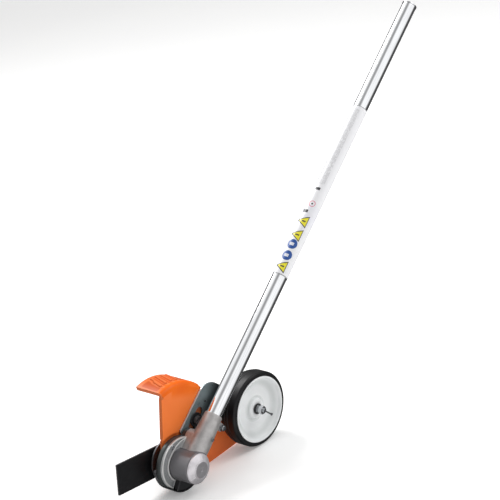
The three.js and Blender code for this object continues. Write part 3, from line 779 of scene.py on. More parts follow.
@dataclass(frozen=True)
class GuardPlastic(Moulded):
    """The guard's plastic, with painted shade that makes it redder behind the raised front, dark behind the plate
    and dark on the front lip.
    """

    # rear, the colour behind the plate and lip are painted shade colours
    rear: Colour = (0.66, 0.07, 0.008)
    slot_shade: Colour = (0.10, 0.012, 0.006)
    roof: Colour = (0.62, 0.09, 0.004)
    roof_from: float = -44.0
    rear_from: float = 16.0
    slot_shade_half: float = 14.0
    slot_shade_start: float = 38.0
    lip: Colour = (0.27, 0.03, 0.006)
    lip_low: Point = polar(NOSE_RADIUS, NOSE_TOP)
    lip_high: Point = polar(ROOF_RADIUS, ROOF_FRONT, ROOF_CENTRE)
    wall: float = -32.2

    def zones(self, graph: Graph, colour: Value) -> Value:
        """Paints shade behind the raised front, behind the plate and on the front lip, and deepens the roof's
        orange, by place about the tube's axis.
        """
        ahead, side, along = graph.axes(graph.position(TUBE_PLACE))
        patches = graph.noise(graph.position(), 16.0, 4.0)
        on_wall = side > -39.5
        colour = graph.mix(side < self.roof_from, colour, self.roof)
        behind = (1.0 - ahead.ramp(self.rear_from - 4, self.rear_from + 4)) * on_wall
        # painted shade behind the raised front
        colour = graph.mix(behind * (0.45 + patches * 0.5), colour, self.rear)
        near = 1.0 - abs(ahead + 2.0).ramp(self.slot_shade_half - 6, self.slot_shade_half + 6)
        slot_shaded = near * on_wall * (along > self.slot_shade_start) * (0.6 + patches * 0.6)
        # painted shade behind the plate and on the front lip
        return graph.mix(self._lip_mask(graph) * 0.85, graph.mix(slot_shaded, colour, self.slot_shade), self.lip)

    def _lip_mask(self, graph: Graph) -> Value:
        """One on the faces that the front edge turns ahead."""
        x, y, z = graph.axes(graph.position(HUB_PLACE))
        line = (Vector(self.lip_high) - Vector(self.lip_low)).normalized()
        ahead = x * line.y - z * line.x - (self.lip_low[0] * line.y - self.lip_low[1] * line.x)
        on_wall = ahead.ramp(-0.75, -0.35) * (y < self.wall)
        angle = z.math("ARCTAN2", z - ROOF_CENTRE[1], x - ROOF_CENTRE[0])
        past_front = 1.0 - angle.ramp_degrees(ROOF_FRONT + 0.1, ROOF_FRONT + 0.5)
        on_roof = past_front * (z > self.lip_high[1] - 10.0)
        return on_wall.math("MAXIMUM", on_wall, on_roof)


@dataclass(frozen=True)
class WheelPlastic(Moulded):
    """The wheel's white plastic, greyed by painted shade on the dish's cone and round the boss."""

    # grey is the painted shade colour of the dish's cone and the ring round the boss
    grey: Colour = (0.56, 0.59, 0.58)
    cone: Point = (35.0, 44.0, 53.0)
    boss: Point = (15.5, 18.5, 24.0)

    def zones(self, graph: Graph, colour: Value) -> Value:
        """Paints shade in two rings about the wheel's axis."""
        x, _, z = graph.axes(graph.position(WHEEL_PLACE))
        reach = x.length(z)
        patches = 0.3 + graph.noise(graph.position(), 20.0, 3.0) * 0.5
        for start, middle, end in (self.cone, self.boss):
            ring = reach.ramp(start, middle) * (1.0 - reach.ramp(middle, end))
            colour = graph.mix(ring * patches, colour, self.grey)
        return colour


@dataclass(frozen=True)
class BlackSteel:
    """Blackened steel with brushed scratches and lighter edges, partly worn bare and partly a painted highlight.
    """

    colour: Colour = (0.004, 0.004, 0.005)
    bare: Colour = (0.30, 0.30, 0.31)
    roughness: float = 0.42

    def material(self, name: str) -> bpy.types.Material:
        """Builds the material."""
        graph = Graph.material(name)
        spot = graph.position()
        scratches = graph.noise(graph.stretched(spot, (0.05, 1.0, 1.0)), 0.6, 3.0)
        cloud = graph.noise(spot, 18.0, 4.0)
        lift = tuple(c + 0.012 for c in self.colour)
        base = graph.mix(scratches.ramp(0.55, 0.8) * 0.5 + cloud * 0.2, self.colour, lift)
        # lighter edges: partly worn bare, partly a painted highlight
        wear = graph.edges().ramp(0.52, 0.58) * scratches.ramp(0.35, 0.6)
        colour = graph.mix(wear * 0.5, base, self.bare)
        roughness = self.roughness + (scratches - 0.5) * 0.14 + (cloud - 0.5) * 0.14
        normal = graph.bump(scratches, 0.03, 0.3)
        return graph.finish(Base_Color=colour, Roughness=roughness, Normal=normal, Specular_IOR_Level=0.22)


@dataclass(frozen=True)
class Rubber:
    """Black rubber with a fine skin and a dusty bloom."""

    colour: Colour = (0.003, 0.003, 0.0035)
    bloom: Colour = (0.016, 0.016, 0.018)
    roughness: float = 0.46

    def material(self, name: str) -> bpy.types.Material:
        """Builds the material."""
        graph = Graph.material(name)
        spot = graph.position()
        cloud = graph.noise(spot, 16.0, 4.0)
        skin = graph.noise(spot, 0.8, 3.0)
        colour = graph.mix(cloud.ramp(0.4, 0.8) * 0.6 + skin * 0.2, self.colour, self.bloom)
        roughness = self.roughness + (cloud - 0.5) * 0.2 + (skin - 0.5) * 0.1
        normal = graph.bump(skin, 0.12, 0.5)
        return graph.finish(Base_Color=colour, Roughness=roughness, Normal=normal, Specular_IOR_Level=0.3)


class Mark(Enum):
    """The plain figures that are printed along the label."""

    WEDGE = "wedge"
    DISC = "disc"
    RING = "ring"
    BAR = "bar"


@dataclass(frozen=True)
class LabelPrint:
    """White printed film: plain coloured figures and rows of fine dashes.

    Stations are millimetres along the tube from the hub. Figures stand on the middle
    angle, which is measured from the tube's front towards the cap's side.
    """

    film: Colour = (0.93, 0.93, 0.95)
    tint: Colour = (0.80, 0.79, 0.92)
    ink: Colour = (0.03, 0.03, 0.035)
    yellow: Colour = (0.93, 0.84, 0.03)
    blue: Colour = (0.01, 0.08, 0.34)
    red: Colour = (0.75, 0.12, 0.22)
    radius: float = 13.2
    middle: float = 12.0
    figures: tuple[tuple[Mark, float, float, float], ...] = (
        (Mark.WEDGE, 358.0, 0.0, 9.8),
        (Mark.DISC, 378.5, 1.8, 8.8),
        (Mark.DISC, 400.0, 1.8, 8.8),
        (Mark.WEDGE, 418.0, 0.0, 9.8),
        (Mark.WEDGE, 444.0, 0.0, 9.8),
        (Mark.BAR, 463.0, -3.0, 5.0),
        (Mark.RING, 478.0, 3.0, 5.6),
        (Mark.BAR, 507.0, 0.0, 4.6),
    )
    print_from: float = 516.0
    print_to: float = 668.0
    # the painted shadow lines run from each end of the film to these stations
    ends: Point = (345.0, 673.2)

    def material(self, name: str) -> bpy.types.Material:
        """Builds the material."""
        graph = Graph.material(name)
        ahead, side, along = graph.axes(graph.position(TUBE_PLACE))
        angle = ahead.math("ARCTAN2", side, ahead)
        around = (angle - math.radians(self.middle)) * self.radius
        soft = graph.noise(graph.position(), 6.0)
        colour = graph.mix(along.band(440.0, 476.0) * 0.25 + soft * 0.05, self.film, self.tint)
        for mark, station, offset, size in self.figures:
            colour = self._figure(graph, colour, mark, along - station, around - offset, size)
        row = (along.math("FRACT", along * 0.55) > 0.45) * (abs(around + 1.0) < 9.0)
        word = graph.noise(graph.stretched(graph.position(TUBE_PLACE), (1.0, 1.0, 0.6)), 2.2, 1.0) > 0.42
        lines = row * word * along.band(self.print_from, self.print_to)
        # painted shadow: a dark line at each end of the film
        ends = (along < self.ends[0]) + (along > self.ends[1])
        colour = graph.mix(lines * 0.32 + ends * 0.6, colour, self.ink)
        return graph.finish(Base_Color=colour, Roughness=0.36 + soft * 0.1, Coat_Weight=0.2)

    def _figure(
        self, graph: Graph, under: Value, mark: Mark, along: Value, around: Value, size: float
    ) -> Value:
        """Prints one figure over what is there.

        Args:
            graph: The material's graph.
            under: The colour so far.
            mark: Which figure it is.
            along: Distance from the figure's middle along the tube.
            around: Distance from its middle around the tube.
            size: Half its width.

        Returns:
            The colour with the figure on it.
        """
        if mark is Mark.WEDGE:
            slope = abs(along) * 1.75 - around - size
            inner = (slope < -3.2) * (around < size - 1.2)
            colour = graph.mix((slope < 0.0) * (around < size), under, self.ink)
            spot = (abs(along) < size * 0.14) * (abs(around - size * 0.25) < size * 0.38)
            return graph.mix(spot * 0.9, graph.mix(inner, colour, self.yellow), self.ink)
        reach = along.length(around)
        if mark is Mark.DISC:
            core = (abs(around + 0.8) < size * 0.42) * (abs(along) < size * 0.3)
            return graph.mix(core * 0.85, graph.mix(reach < size, under, self.blue), self.film)
        if mark is Mark.RING:
            ring = graph.mix(reach.band(size - 1.1, size), under, self.red)
            return graph.mix(reach < size * 0.3, ring, self.ink)
        slab = (abs(along) < size * 0.55) * (abs(around) < size)
        return graph.mix(slab, under, self.ink)


FINISHES: dict[Slot, Any] = {
    Slot.TUBE: DrawnTube(),
    Slot.LABEL: LabelPrint(),
    Slot.CAST: GearboxCasting((0.47, 0.455, 0.45), (0.76, 0.76, 0.75)),
    Slot.CAP: CapCasting((0.74, 0.71, 0.74), (0.88, 0.86, 0.88), roughness=0.38, grain=0.6),
    Slot.STEEL: Plated((0.15, 0.15, 0.16), roughness=0.48),
    Slot.ZINC: Plated((0.33, 0.34, 0.355), roughness=0.22),
    Slot.PLATE: PlateZinc((0.33, 0.41, 0.43), roughness=0.3, mottle=22.0, metallic=0.45),
    Slot.BLACK: BlackSteel(),
    Slot.ORANGE: GuardPlastic((0.97, 0.175, 0.006), (0.86, 0.125, 0.004), coat=0.0, gloss=0.16),
    Slot.RUBBER: Rubber(roughness=0.6),
    Slot.TYRE: Rubber(),
    Slot.WHITE: WheelPlastic((0.87, 0.885, 0.89), (0.80, 0.82, 0.83), roughness=0.24, coat=0.4, crease_shade_share=0.25),
    Slot.BRONZE: Plated((0.52, 0.33, 0.14), roughness=0.38),
}
_MADE: dict[Slot, bpy.types.Material] = {}


def material_for(slot: Slot) -> bpy.types.Material:
    """The material of a slot, built the first time that it is asked for."""
    if slot not in _MADE:
        _MADE[slot] = FINISHES[slot].material(slot.value)
    return _MADE[slot]


# ---- pieces ----


def add_piece(
    name: str, shape: Shape, place: Matrix, body: Body, slot: Slot, *nodes: str, sharp: float = 38.0
) -> bpy.types.Object:
    """Turns a shape into a finished piece.

    Args:
        name: The piece's name.
        shape: Its mesh, in millimetres.
        place: The millimetre frame that it was made in.
        body: The CAD body that it rides on.
        slot: The record's slot that it takes its finish from.
        nodes: The CAD nodes that it stands for.
        sharp: The angle in degrees past which an edge is shaded as sharp.

    Returns:
        The finished object.
    """
    shape.move(place)
    mesh = bpy.data.meshes.new(name)
    shape.bm.to_mesh(mesh)
    shape.bm.free()
    mesh.shade_smooth()
    mesh.set_sharp_from_angle(angle=math.radians(sharp))
    mesh.materials.append(material_for(slot))
    piece = bpy.data.objects.new(name, mesh)
    bpy.context.scene.collection.objects.link(piece)
    weighted = piece.modifiers.new("weighted", "WEIGHTED_NORMAL")
    weighted.keep_sharp = True
    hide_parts(*nodes)
    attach(piece, body.value)
    LOG.info("%s: %d faces on %s", name, len(mesh.polygons), body.value)
    return piece


def thread(radius: float, start: float, end: float, pitch: float = 1.25, depth: float = 0.5) -> list[Point]:
    """The profile of a screw thread as rings, from start to end.

    Args:
        radius: The crest's radius.
        start: Where the first ring starts.
        end: Where the last ring ends, at most.
        pitch: How far apart the rings are.
        depth: How deep the roots are.

    Returns:
        Radius and height of each point.
    """
    way = 1 if end > start else -1
    count = int(abs(end - start) / pitch)
    points: list[Point] = []
    for i in range(count):
        at = start + way * i * pitch
        points += [(radius - depth, at), (radius, at + way * pitch * 0.4), (radius, at + way * pitch * 0.6)]
    return points


def washer(bore: float, radius: float, low: float, high: float, axis: Axis = Axis.Y) -> Shape:
    """A flat ring with eased edges."""
    ring = [(bore, low), (radius, low), (radius, high), (bore, high)]
    return Shape.turned(ring, axis, 64).ease(min(0.35, (high - low) * 0.3))


def nut(across: float, bore: float, low: float, high: float) -> Shape:
    """A hexagon nut along Y with chamfered corners and a bore."""
    corner, flat, chamfer = across / math.sqrt(3), across / 2, across * 0.09
    cone = [(bore, low), (flat, low), (corner + 0.1, low + chamfer)]
    cone += [(corner + 0.1, high - chamfer), (flat, high), (bore, high)]
    return Shape.hexagon(across, low, high).within(Shape.turned(cone, steps=64)).ease(0.25)


def socket_head(radius: float, low: float, high: float, key: float, steps: int = 48) -> Shape:
    """A round screw head along Y whose key socket opens at the high end."""
    depth = (high - low) * 0.55
    dome = rounded([(0, low), (radius, low, 0.3), (radius, high, radius * 0.3), (0, high)], False)
    return Shape.turned(dome, steps=steps).cut(Shape.hexagon(key, high - depth, high + 1))


@dataclass
class DriveTube:
    """The long tube, its printed sleeve and the ring in its upper end."""

    radius: float = 12.7
    wall: float = 1.6
    start: float = 44.0
    end: float = 892.0
    label_start: float = 343.5
    label_end: float = 674.5
    label_first: float = -52.0
    label_wrap: float = 200.0
    flange_radius: float = 13.4
    ring_bore: float = 6.8
    gap: float = 0.3

    def build(self) -> None:
        """Builds the three pieces."""
        inside = self.radius - self.wall
        tube = [(inside, self.start), (self.radius, self.start), (self.radius, self.end), (inside, self.end)]
        shape = Shape.turned(tube, Axis.Z, 160).ease(0.3)
        add_piece("tube_drawn", shape, TUBE_PLACE, Body.FRAME, Slot.TUBE, "drive_tube")
        self._label()
        self._end_ring(inside - self.gap)

    def _label(self) -> None:
        """Builds the printed sleeve as a thin shell."""
        low, high = self.radius + self.gap, self.radius + self.gap + 0.2
        start, end = self.label_start, self.label_end
        film = [(low, start), (high, start), (high, end), (low, end)]
        shape = Shape.turned(film, Axis.Z, 72, self.label_first, self.label_wrap)
        add_piece("tube_label_film", shape, TUBE_PLACE, Body.FRAME, Slot.LABEL, "tube_label")

    def _end_ring(self, plug: float) -> None:
        """Builds the flanged ring, with its key notch at the tube's rear."""
        seat, face = self.end + self.gap, self.end + 2.3
        profile = rounded(
            [
                (self.ring_bore, self.end - 14),
                (plug, self.end - 14, 0.6),
                (plug, seat),
                (self.flange_radius, seat, 0.3),
                (self.flange_radius, face, 0.7),
                (self.ring_bore + 2.2, face),
                (self.ring_bore + 1.4, face - 0.8),
                (self.ring_bore, face - 0.8, 0.3),
            ]
        )
        notch = Shape.block((5, 5, 4), (-self.radius, 0, face))
        shape = Shape.turned(profile, Axis.Z, 128).cut(notch)
        add_piece("tube_end_flange", shape, TUBE_PLACE, Body.FRAME, Slot.TUBE, "tube_end_ring")


@dataclass
class Gearbox:
    """The casting with its neck, the cap, the plug and the screws."""

    barrel: float = 25.5
    base: float = 43.5
    base_face: float = -20.0
    base_back: float = -30.0
    boss: float = 27.0
    boss_back: float = -34.2
    front: float = 18.0
    neck_foot: float = 17.8
    neck_end: float = 14.8
    neck_top: float = 90.0
    rim: float = 2.6
    leaf_tip: float = 121.0
    leaf_low: float = -52.0
    voxel: float = 0.7
    clamp: Point = (-22.5, 79.0)
    plug: Point = (10.0, 34.0)
    locating: Point = (-3.0, 51.0)

    def build(self) -> None:
        """Builds the casting and what is fixed to it."""
        self._casting()
        self._cap()
        self._screws()

    def _leaf_radius(self, angle: float) -> float:
        """How far the leaf's inner rim stands from the hub at an angle in degrees."""
        flare = max(0.0, (angle - 52.0) / (self.leaf_tip - 52.0))
        return self.barrel + 2.6 + (self.base - 5.6 - self.barrel) * flare**1.6

    def _rims(self) -> list[Shape]:
        """The two raised rims that bound the leaf-shaped face of the base."""
        steps = 60
        angles = [self.leaf_low + (self.leaf_tip - self.leaf_low) * i / steps for i in range(steps + 1)]
        half = self.rim / 2
        inner = [polar(self._leaf_radius(a) - half, a) for a in angles]
        inner += [polar(self._leaf_radius(a) + half, a) for a in reversed(angles)]
        middle = [self.base - 3.4 + 1.6 * max(0.0, (a - 40.0) / 80.0) for a in angles]
        outer = [polar(r - half, a) for r, a in zip(middle, angles)]
        outer += [polar(r + half, a) for r, a in reversed(list(zip(middle, angles)))]
        top = self.base_face + 2.3
        return [Shape.prism(line, self.base_face - 3, top).ease(0.5) for line in (inner, outer)]

    def _neck(self) -> Shape:
        """The neck, its web down to the base and the clamp ears, in the hub's frame."""
        cone = [(0, 2), (self.neck_foot, 2), (self.neck_foot, 44), (self.neck_end, self.neck_top)]
        neck = Shape.turned([*cone, (0, self.neck_top)], Axis.Z, 96)
        web = Shape.prism([(-17, 8), (17, 8), (17, 48), (12, 56), (-12, 56), (-17, 48)], -29.5, -5)
        ahead, along = self.clamp
        ear = Shape.turned([(0, -7.5), (6.5, -7.5), (6.5, 7.5), (0, 7.5)], steps=48).shift(ahead, 0, along)
        arm = Shape.block((12, 15, 13), (ahead + 6, 0, along))
        return neck.join(web, ear, arm).move(TUBE_TURN)

    def _casting(self) -> None:
        """Melts the barrel, base, rims, neck and foot together and cuts the seats."""
        barrel = Shape.turned([(0, -29), (self.barrel, -29), (self.barrel, self.front), (0, self.front)])
        back, face = self.base_back, self.base_face
        disc = [(0, back), (self.base, back), (self.base, back + 6), (self.base - 1.6, face), (0, face)]
        boss = Shape.turned([(0, self.boss_back), (self.boss, self.boss_back), (self.boss, -28), (0, -28)])
        foot_outline = arc(self.base - 1, -122, -54, 24) + arc(self.barrel - 4, -54, -122, 24)
        foot = Shape.prism(foot_outline, back + 1, -10)
        whole = barrel.join(Shape.turned(disc, steps=128), boss, foot, self._neck())
        whole.cast(self.voxel, 5)
        for rim in self._rims():
            whole.through("BOOLEAN", operation="UNION", solver="EXACT", object=rim)
        tube_seat = Shape.turned([(0, 43.7), (13.0, 43.7), (13.0, 92), (0, 92)], Axis.Z, 96)
        slit = Shape.block((40, 2, 34), (-20, 0, 80))
        clamp = Shape.turned([(0, -20), (2.9, -20), (2.9, 20), (0, 20)], steps=32)
        clamp.shift(self.clamp[0], 0, self.clamp[1])
        shaft = Shape.turned([(0, -40), (13.3, -40), (13.3, -18.7), (6, -18.7), (6, 0), (0, 0)], steps=64)
        cavity = Shape.turned([(0, -13), (19.5, -13), (19.5, 19), (0, 19)], steps=96)
        plug_hole = Shape.turned([(0, -27), (2.8, -27), (2.8, -16), (0, -16)], steps=32)
        plug_hole.shift(self.plug[0], 0, self.plug[1])
        whole.cut(*(item.move(TUBE_TURN) for item in (tube_seat, slit, clamp)), shaft, cavity, plug_hole)
        add_piece("gearbox_casting", whole, HUB_PLACE, Body.FRAME, Slot.CAST, "gearbox_housing", sharp=50)

    def _cap(self) -> None:
        """Builds the cap: a chamfered cover with a flat and a moulded centre dimple."""
        seat, end = self.front + 0.3, 27.2
        profile = rounded(
            [
                (0, 22.2),
                (13.3, 22.2),
                (13.3, 13.9),
                (19.2, 13.9),
                (19.2, seat),
                (24.4, seat, 0.3),
                (24.4, 20.6, 1.2),
                (15.2, 26.2, 1.4),
                (13.6, 26.2, 0.5),
                (13.0, end, 0.6),
                (2.6, end, 0.3),
                (2.0, end - 0.8, 0.3),
                (0, end - 0.8),
            ],
            False,
        )
        shape = Shape.turned(profile, steps=128)
        add_piece("gearbox_cover", shape, HUB_PLACE, Body.FRAME, Slot.CAP, "gearbox_cap")

    def _screws(self) -> None:
        """Builds the grease plug, the clamp screw and its nut, and the locating screw."""
        face = self.base_face
        shank = [(0, face - 6), (2.5, face - 6), (2.5, face + 0.5), (0, face + 0.5)]
        plug = socket_head(3.5, face + 0.3, face + 2.4, 3.0).join(Shape.turned(shank, steps=32))
        plug.shift(self.plug[0], 0, self.plug[1])
        add_piece("grease_plug_screw", plug, HUB_PLACE, Body.FRAME, Slot.ZINC, "grease_plug")
        shank = [(0, -11.8), *thread(2.6, -11.8, -7.0), (2.6, -7.0), (2.6, 8.0), (0, 8.0)]
        ahead, along = self.clamp
        screw = socket_head(4.6, 9.0, 13.2, 4.0).join(Shape.turned(shank, steps=32))
        screw.join(washer(2.7, 5.6, 7.8, 8.8)).shift(ahead, 0, along)
        add_piece("clamp_screw_bright", screw, TUBE_PLACE, Body.FRAME, Slot.ZINC, "clamp_screw")
        clamp_nut = nut(8.4, 2.9, -12.3, -7.8).shift(ahead, 0, along)
        add_piece("clamp_nut_bright", clamp_nut, TUBE_PLACE, Body.FRAME, Slot.ZINC, "clamp_nut")
        pin = [(0, 13), (2, 13), (2, 18), (0, 18)]
        locating = socket_head(3.2, 17.8, 19.2, 2.4).join(Shape.turned(pin, steps=24))
        locating.shift(self.locating[0], 0, self.locating[1])
        add_piece("locating_screw_bright", locating, TUBE_PLACE, Body.FRAME, Slot.ZINC, "locating_screw")


@dataclass
class Guard:
    """The moulded guard with its raised front, ribbed roof and front lip."""

    near: float = -34.5
    rise: float = 3.0
    far: float = -88.0
    thickness: float = 3.0
    roof_radius: float = ROOF_RADIUS
    roof_centre: Point = ROOF_CENTRE
    roof_front: float = ROOF_FRONT
    roof_rear: float = 150.0
    bottom: float = -44.0
    foot: float = -42.4
    nose: float = NOSE_RADIUS
    nose_top: float = NOSE_TOP
    nose_bottom: float = -107.0
    pad_edge: float = 22.5
    pad_round: float = 46.5
    step_run: float = 1.3
    corner: float = 9.0
    lip: float = 6.5
    corner_steps: int = 7
    rib_height: float = 2.0
    rib_first: int = 8
    rib_pitch: int = 7
    rib_width: int = 3
    rib_count: int = 4
    rib_near: float = -45.5
    rib_far: float = -81.0
    rows: int = 8
    slant: float = 7.5
    front_steps: int = 58
    rear_steps: int = 24

    def build(self) -> None:
        """Builds the guard and its three screws."""
        shape = self._skin()
        self._ribs(shape)
        self._lip(shape)
        shape.through(
            "SOLIDIFY", thickness=self.thickness, offset=-1.0, use_even_offset=True, use_quality_normals=True
        )
        self._holes(shape)
        shape.ease(0.55, 2, 34.0)
        add_piece("guard_moulding", shape, HUB_PLACE, Body.FRAME, Slot.ORANGE, "guard")
        self._screws()

    def _front_point(self, radius: float) -> Point:
        """Where the straight front edge stands at a distance from the hub."""
        low = Vector(polar(self.nose, self.nose_top))
        along = (Vector(polar(self.roof_radius, self.roof_front, self.roof_centre)) - low).normalized()
        reach = -low.dot(along) + math.sqrt(low.dot(along) ** 2 - low.length_squared + radius**2)
        return tuple(low + along * reach)

    def _pad_line(self, edge: float, radius: float) -> list[Point]:
        """The rear and lower edge of the raised front, from the roof to the front edge.

        Args:
            edge: Its straight part's distance ahead of the tube's axis.
            radius: Its round part's radius about the hub.

        Returns:
            Points from the roof down and forward.
        """
        ahead = math.degrees(TUBE_LEAN)
        low = ahead + math.degrees(math.acos(edge / radius))
        middle_p, _ = to_tube(*self.roof_centre)
        rise = math.sqrt((self.roof_radius - self.corner) ** 2 - (edge - middle_p) ** 2)
        top = ahead + math.degrees(math.atan2(rise, edge - middle_p))
        end = self._front_point(radius)
        last = math.degrees(math.atan2(end[1], end[0]))
        start = polar(self.roof_radius - self.corner, top, self.roof_centre)
        return [start, *arc(radius, low, last, 18)]

    def _roof_angle(self, point: Point) -> float:
        """A point's angle about the roof's centre, in degrees."""
        return math.degrees(math.atan2(point[1] - self.roof_centre[1], point[0] - self.roof_centre[0]))

    def _ridge(self, pad_top: Point, low_top: Point) -> list[tuple[Vector, Vector, float]]:
        """The line where the wall turns into the roof, from the front edge to the foot.

        Args:
            pad_top: Where the raised front's rear edge meets the corner's start.
            low_top: The same for the recess behind it.

        Returns:
            The outer point, the way inwards and the wall's Y for each station.
        """
        split, rear = self._roof_angle(pad_top), self._roof_angle(low_top)
        step = (split - self.roof_front) / self.front_steps
        angles = [(self.roof_front + step * i, self.near + self.rise) for i in range(self.front_steps + 1)]
        step = (self.roof_rear - rear) / self.rear_steps
        angles += [(rear + step * i, self.near) for i in range(self.rear_steps + 1)]
        low = Vector(polar(self.nose, self.nose_top))
        downwards = (low - Vector(polar(self.roof_radius, self.roof_front, self.roof_centre))).normalized()
        stations = []
        for angle, level in angles:
            radial = -Vector(polar(1, angle))
            lead = max(0.0, 1 - (angle - self.roof_front) / 8.0)
            point = Vector(polar(self.roof_radius, angle, self.roof_centre))
            stations.append((point, radial.lerp(downwards, lead), level))
        point, inward, level = stations[-1]
        slope = Vector((inward.y, -inward.x)) * (1 if inward.x > 0 else -1)
        run = (self.foot - point.y) / slope.y
        stations.append((point + slope * run, Vector((1 / inward.x, 0)), level))
        return stations

    def _skin(self) -> Shape:
        """The outer skin: the raised front, the recess behind it, the round edge and the roof."""
        shape = Shape()
        bm = shape.bm
        near, high = self.near, self.near + self.rise
        pad_line = self._pad_line(self.pad_edge, self.pad_round)
        low_line = self._pad_line(self.pad_edge - self.step_run, self.pad_round - self.step_run)
        stations = self._ridge(pad_line[0], low_line[0])
        chain = [shape.vertex(point + inward * self.corner, level) for point, inward, level in stations]
        pad_top, low_top = chain[self.front_steps], chain[self.front_steps + 1]
        pad_verts = [pad_top] + [shape.vertex(point, high) for point in pad_line[1:]]
        low_verts = [low_top] + [shape.vertex(point, near) for point in low_line[1:]]
        nose = arc(self.nose, self.nose_bottom, self.nose_top, 28)
        under = [shape.vertex(point, near) for point in [(-50.0, self.bottom), *nose]]
        bm.faces.new(chain[: self.front_steps] + pad_verts)
        bm.faces.new(chain[self.front_steps + 1 :] + under + low_verts[:0:-1])
        for pair, below in zip(zip(pad_verts, pad_verts[1:]), zip(low_verts, low_verts[1:])):
            bm.faces.new((pair[0], pair[1], below[1], below[0]))
        for k in range(1, self.corner_steps + 1):
            turn = math.radians(90.0 * k / self.corner_steps)
            back, drop = self.corner * (1 - math.sin(turn)), self.corner * (1 - math.cos(turn))
            line = [(point + inward * back, level - drop) for point, inward, level in stations]
            chain = self._grow(bm, chain, line)
        for k in range(self.rows + 1):
            y = self.rib_near + (self.rib_far - self.rib_near) * k / self.rows
            chain = self._grow(bm, chain, [(self._slanted(s[0], k / self.rows), y) for s in stations])
        self._grow(bm, chain, [(self._slanted(s[0], 1.0), self.far) for s in stations])
        bmesh.ops.remove_doubles(bm, verts=bm.verts, dist=1e-4)
        self._face_out(shape)
        return shape

    def _face_out(self, shape: Shape) -> None:
        """Turns the open skin's faces outwards, as its wall has to look ahead along Y."""
        shape.outward()
        wall = max(shape.bm.faces, key=bmesh.types.BMFace.calc_area)
        if wall.normal.y < 0:
            bmesh.ops.reverse_faces(shape.bm, faces=shape.bm.faces)

    def _slanted(self, point: Vector, share: float) -> Vector:
        """Shifts a roof point backwards along the arc, as its slanting ribs ask.

        Args:
            point: The point in X and Z.
            share: How far it is across the roof, from nothing to one.

        Returns:
            The shifted point.
        """
        angle = self._roof_angle(point)
        if angle >= self.roof_rear - 1:
            return point
        rise = min(1.0, (angle - self.roof_front) / 10.0)
        fall = min(1.0, (self.roof_rear - angle) / 30.0)
        shifted = angle + self.slant * share * max(0.0, rise) * max(0.0, fall)
        return Vector(polar(self.roof_radius, shifted, self.roof_centre))

    def _grow(
        self, bm: bmesh.types.BMesh, chain: list[bmesh.types.BMVert], line: list[tuple[Vector, float]]
    ) -> list[bmesh.types.BMVert]:
        """Extrudes a chain of points and moves the new ones to a line.

        Args:
            bm: The mesh.
            chain: The points, from the front to the foot.
            line: Where each new point goes, as X and Z, and Y.

        Returns:
            The new points in the same order.
        """
        edges = [bm.edges.get(pair) for pair in zip(chain, chain[1:])]
        grown = bmesh.ops.extrude_edge_only(bm, edges=edges)["geom"]
        risen = {item.co.to_tuple(3): item for item in grown if isinstance(item, bmesh.types.BMVert)}
        points = [risen[vert.co.to_tuple(3)] for vert in chain]
        for point, (spot, y) in zip(points, line):
            point.co = (spot.x, y, spot.y)
        return points

    def _ribs(self, shape: Shape) -> None:
        """Raises the ribs that cross the roof, which lean with the roof's own rows."""
        bm = shape.bm
        front = self._roof_angle(self._pad_line(self.pad_edge, self.pad_round)[0])
        step = (front - self.roof_front) / self.front_steps
        for k in range(self.rib_count):
            first = self.roof_front + step * (self.rib_first + k * self.rib_pitch)
            faces = []
            for face in bm.faces:
                middle = face.calc_center_median()
                share = (self.rib_near - middle.y) / (self.rib_near - self.rib_far)
                angle = self._roof_angle((middle.x, middle.z)) - self.slant * share
                on_roof = abs(math.dist((middle.x, middle.z), self.roof_centre) - self.roof_radius) < 1
                if 0 < share < 1 and on_roof and first < angle < first + self.rib_width * step:
                    faces.append(face)
            bmesh.ops.inset_region(
                bm, faces=faces, thickness=0.7, depth=self.rib_height, use_boundary=True, use_even_offset=True
            )

    def _on_front(self, vert: bmesh.types.BMVert) -> bool:
        """Whether a point lies on the straight front edge, above the raised front's round."""
        start = Vector(polar(self.nose, self.nose_top))
        end = Vector(polar(self.roof_radius, self.roof_front, self.roof_centre))
        along = (end - start).normalized()
        reach = (Vector((vert.co.x, vert.co.z)) - start).dot(Vector((along.y, -along.x)))
        return reach > -0.3 and vert.co.z > self._front_point(self.pad_round)[1] - 0.5

    def _lip(self, shape: Shape) -> None:
        """Turns the front edge of the wall and the roof inwards."""
        bm = shape.bm
        bm.normal_update()
        rim = [edge for edge in bm.edges if edge.is_boundary and all(map(self._on_front, edge.verts))]
        inwards = {vert.co.to_tuple(3): -vert.normal for edge in rim for vert in edge.verts}
        grown = bmesh.ops.extrude_edge_only(bm, edges=rim)["geom"]
        for item in grown:
            if isinstance(item, bmesh.types.BMVert):
                item.co += inwards[item.co.to_tuple(3)] * self.lip
        self._face_out(shape)

    def _holes(self, shape: Shape) -> None:
        """Cuts the shaft's opening, the guide bolt's hole and the screw holes."""
        spots = [(14.0, (0.0, 0.0)), (4.2, polar(GUIDE_ALONG, 90 + math.degrees(TUBE_LEAN)))]
        spots += [(2.8, polar(SCREW_CIRCLE, angle)) for angle in SCREW_ANGLES]
        for radius, (x, z) in spots:
            rod = [(0, -50), (radius, -50), (radius, -20), (0, -20)]
            shape.cut(Shape.turned(rod, steps=40).shift(x, 0, z))

    def _screws(self) -> None:
        """Builds the three screws that hold the guard to the gearbox."""
        wall_far = self.near - 3.5
        for i, angle in enumerate(SCREW_ANGLES):
            x, z = polar(SCREW_CIRCLE, angle)
            head = socket_head(4.5, 0.3, 3.3, 3.4).move(Matrix.Rotation(math.pi, 4, "X"))
            head.shift(x, wall_far, z)
            shank = Shape.turned([(0, wall_far - 0.5), (2.5, wall_far - 0.5), (2.5, -25), (0, -25)], steps=32)
            head.join(shank.shift(x, 0, z))
            name = f"guard_screw_{i + 1}"
            add_piece(f"{name}_bright", head, HUB_PLACE, Body.FRAME, Slot.ZINC, name)


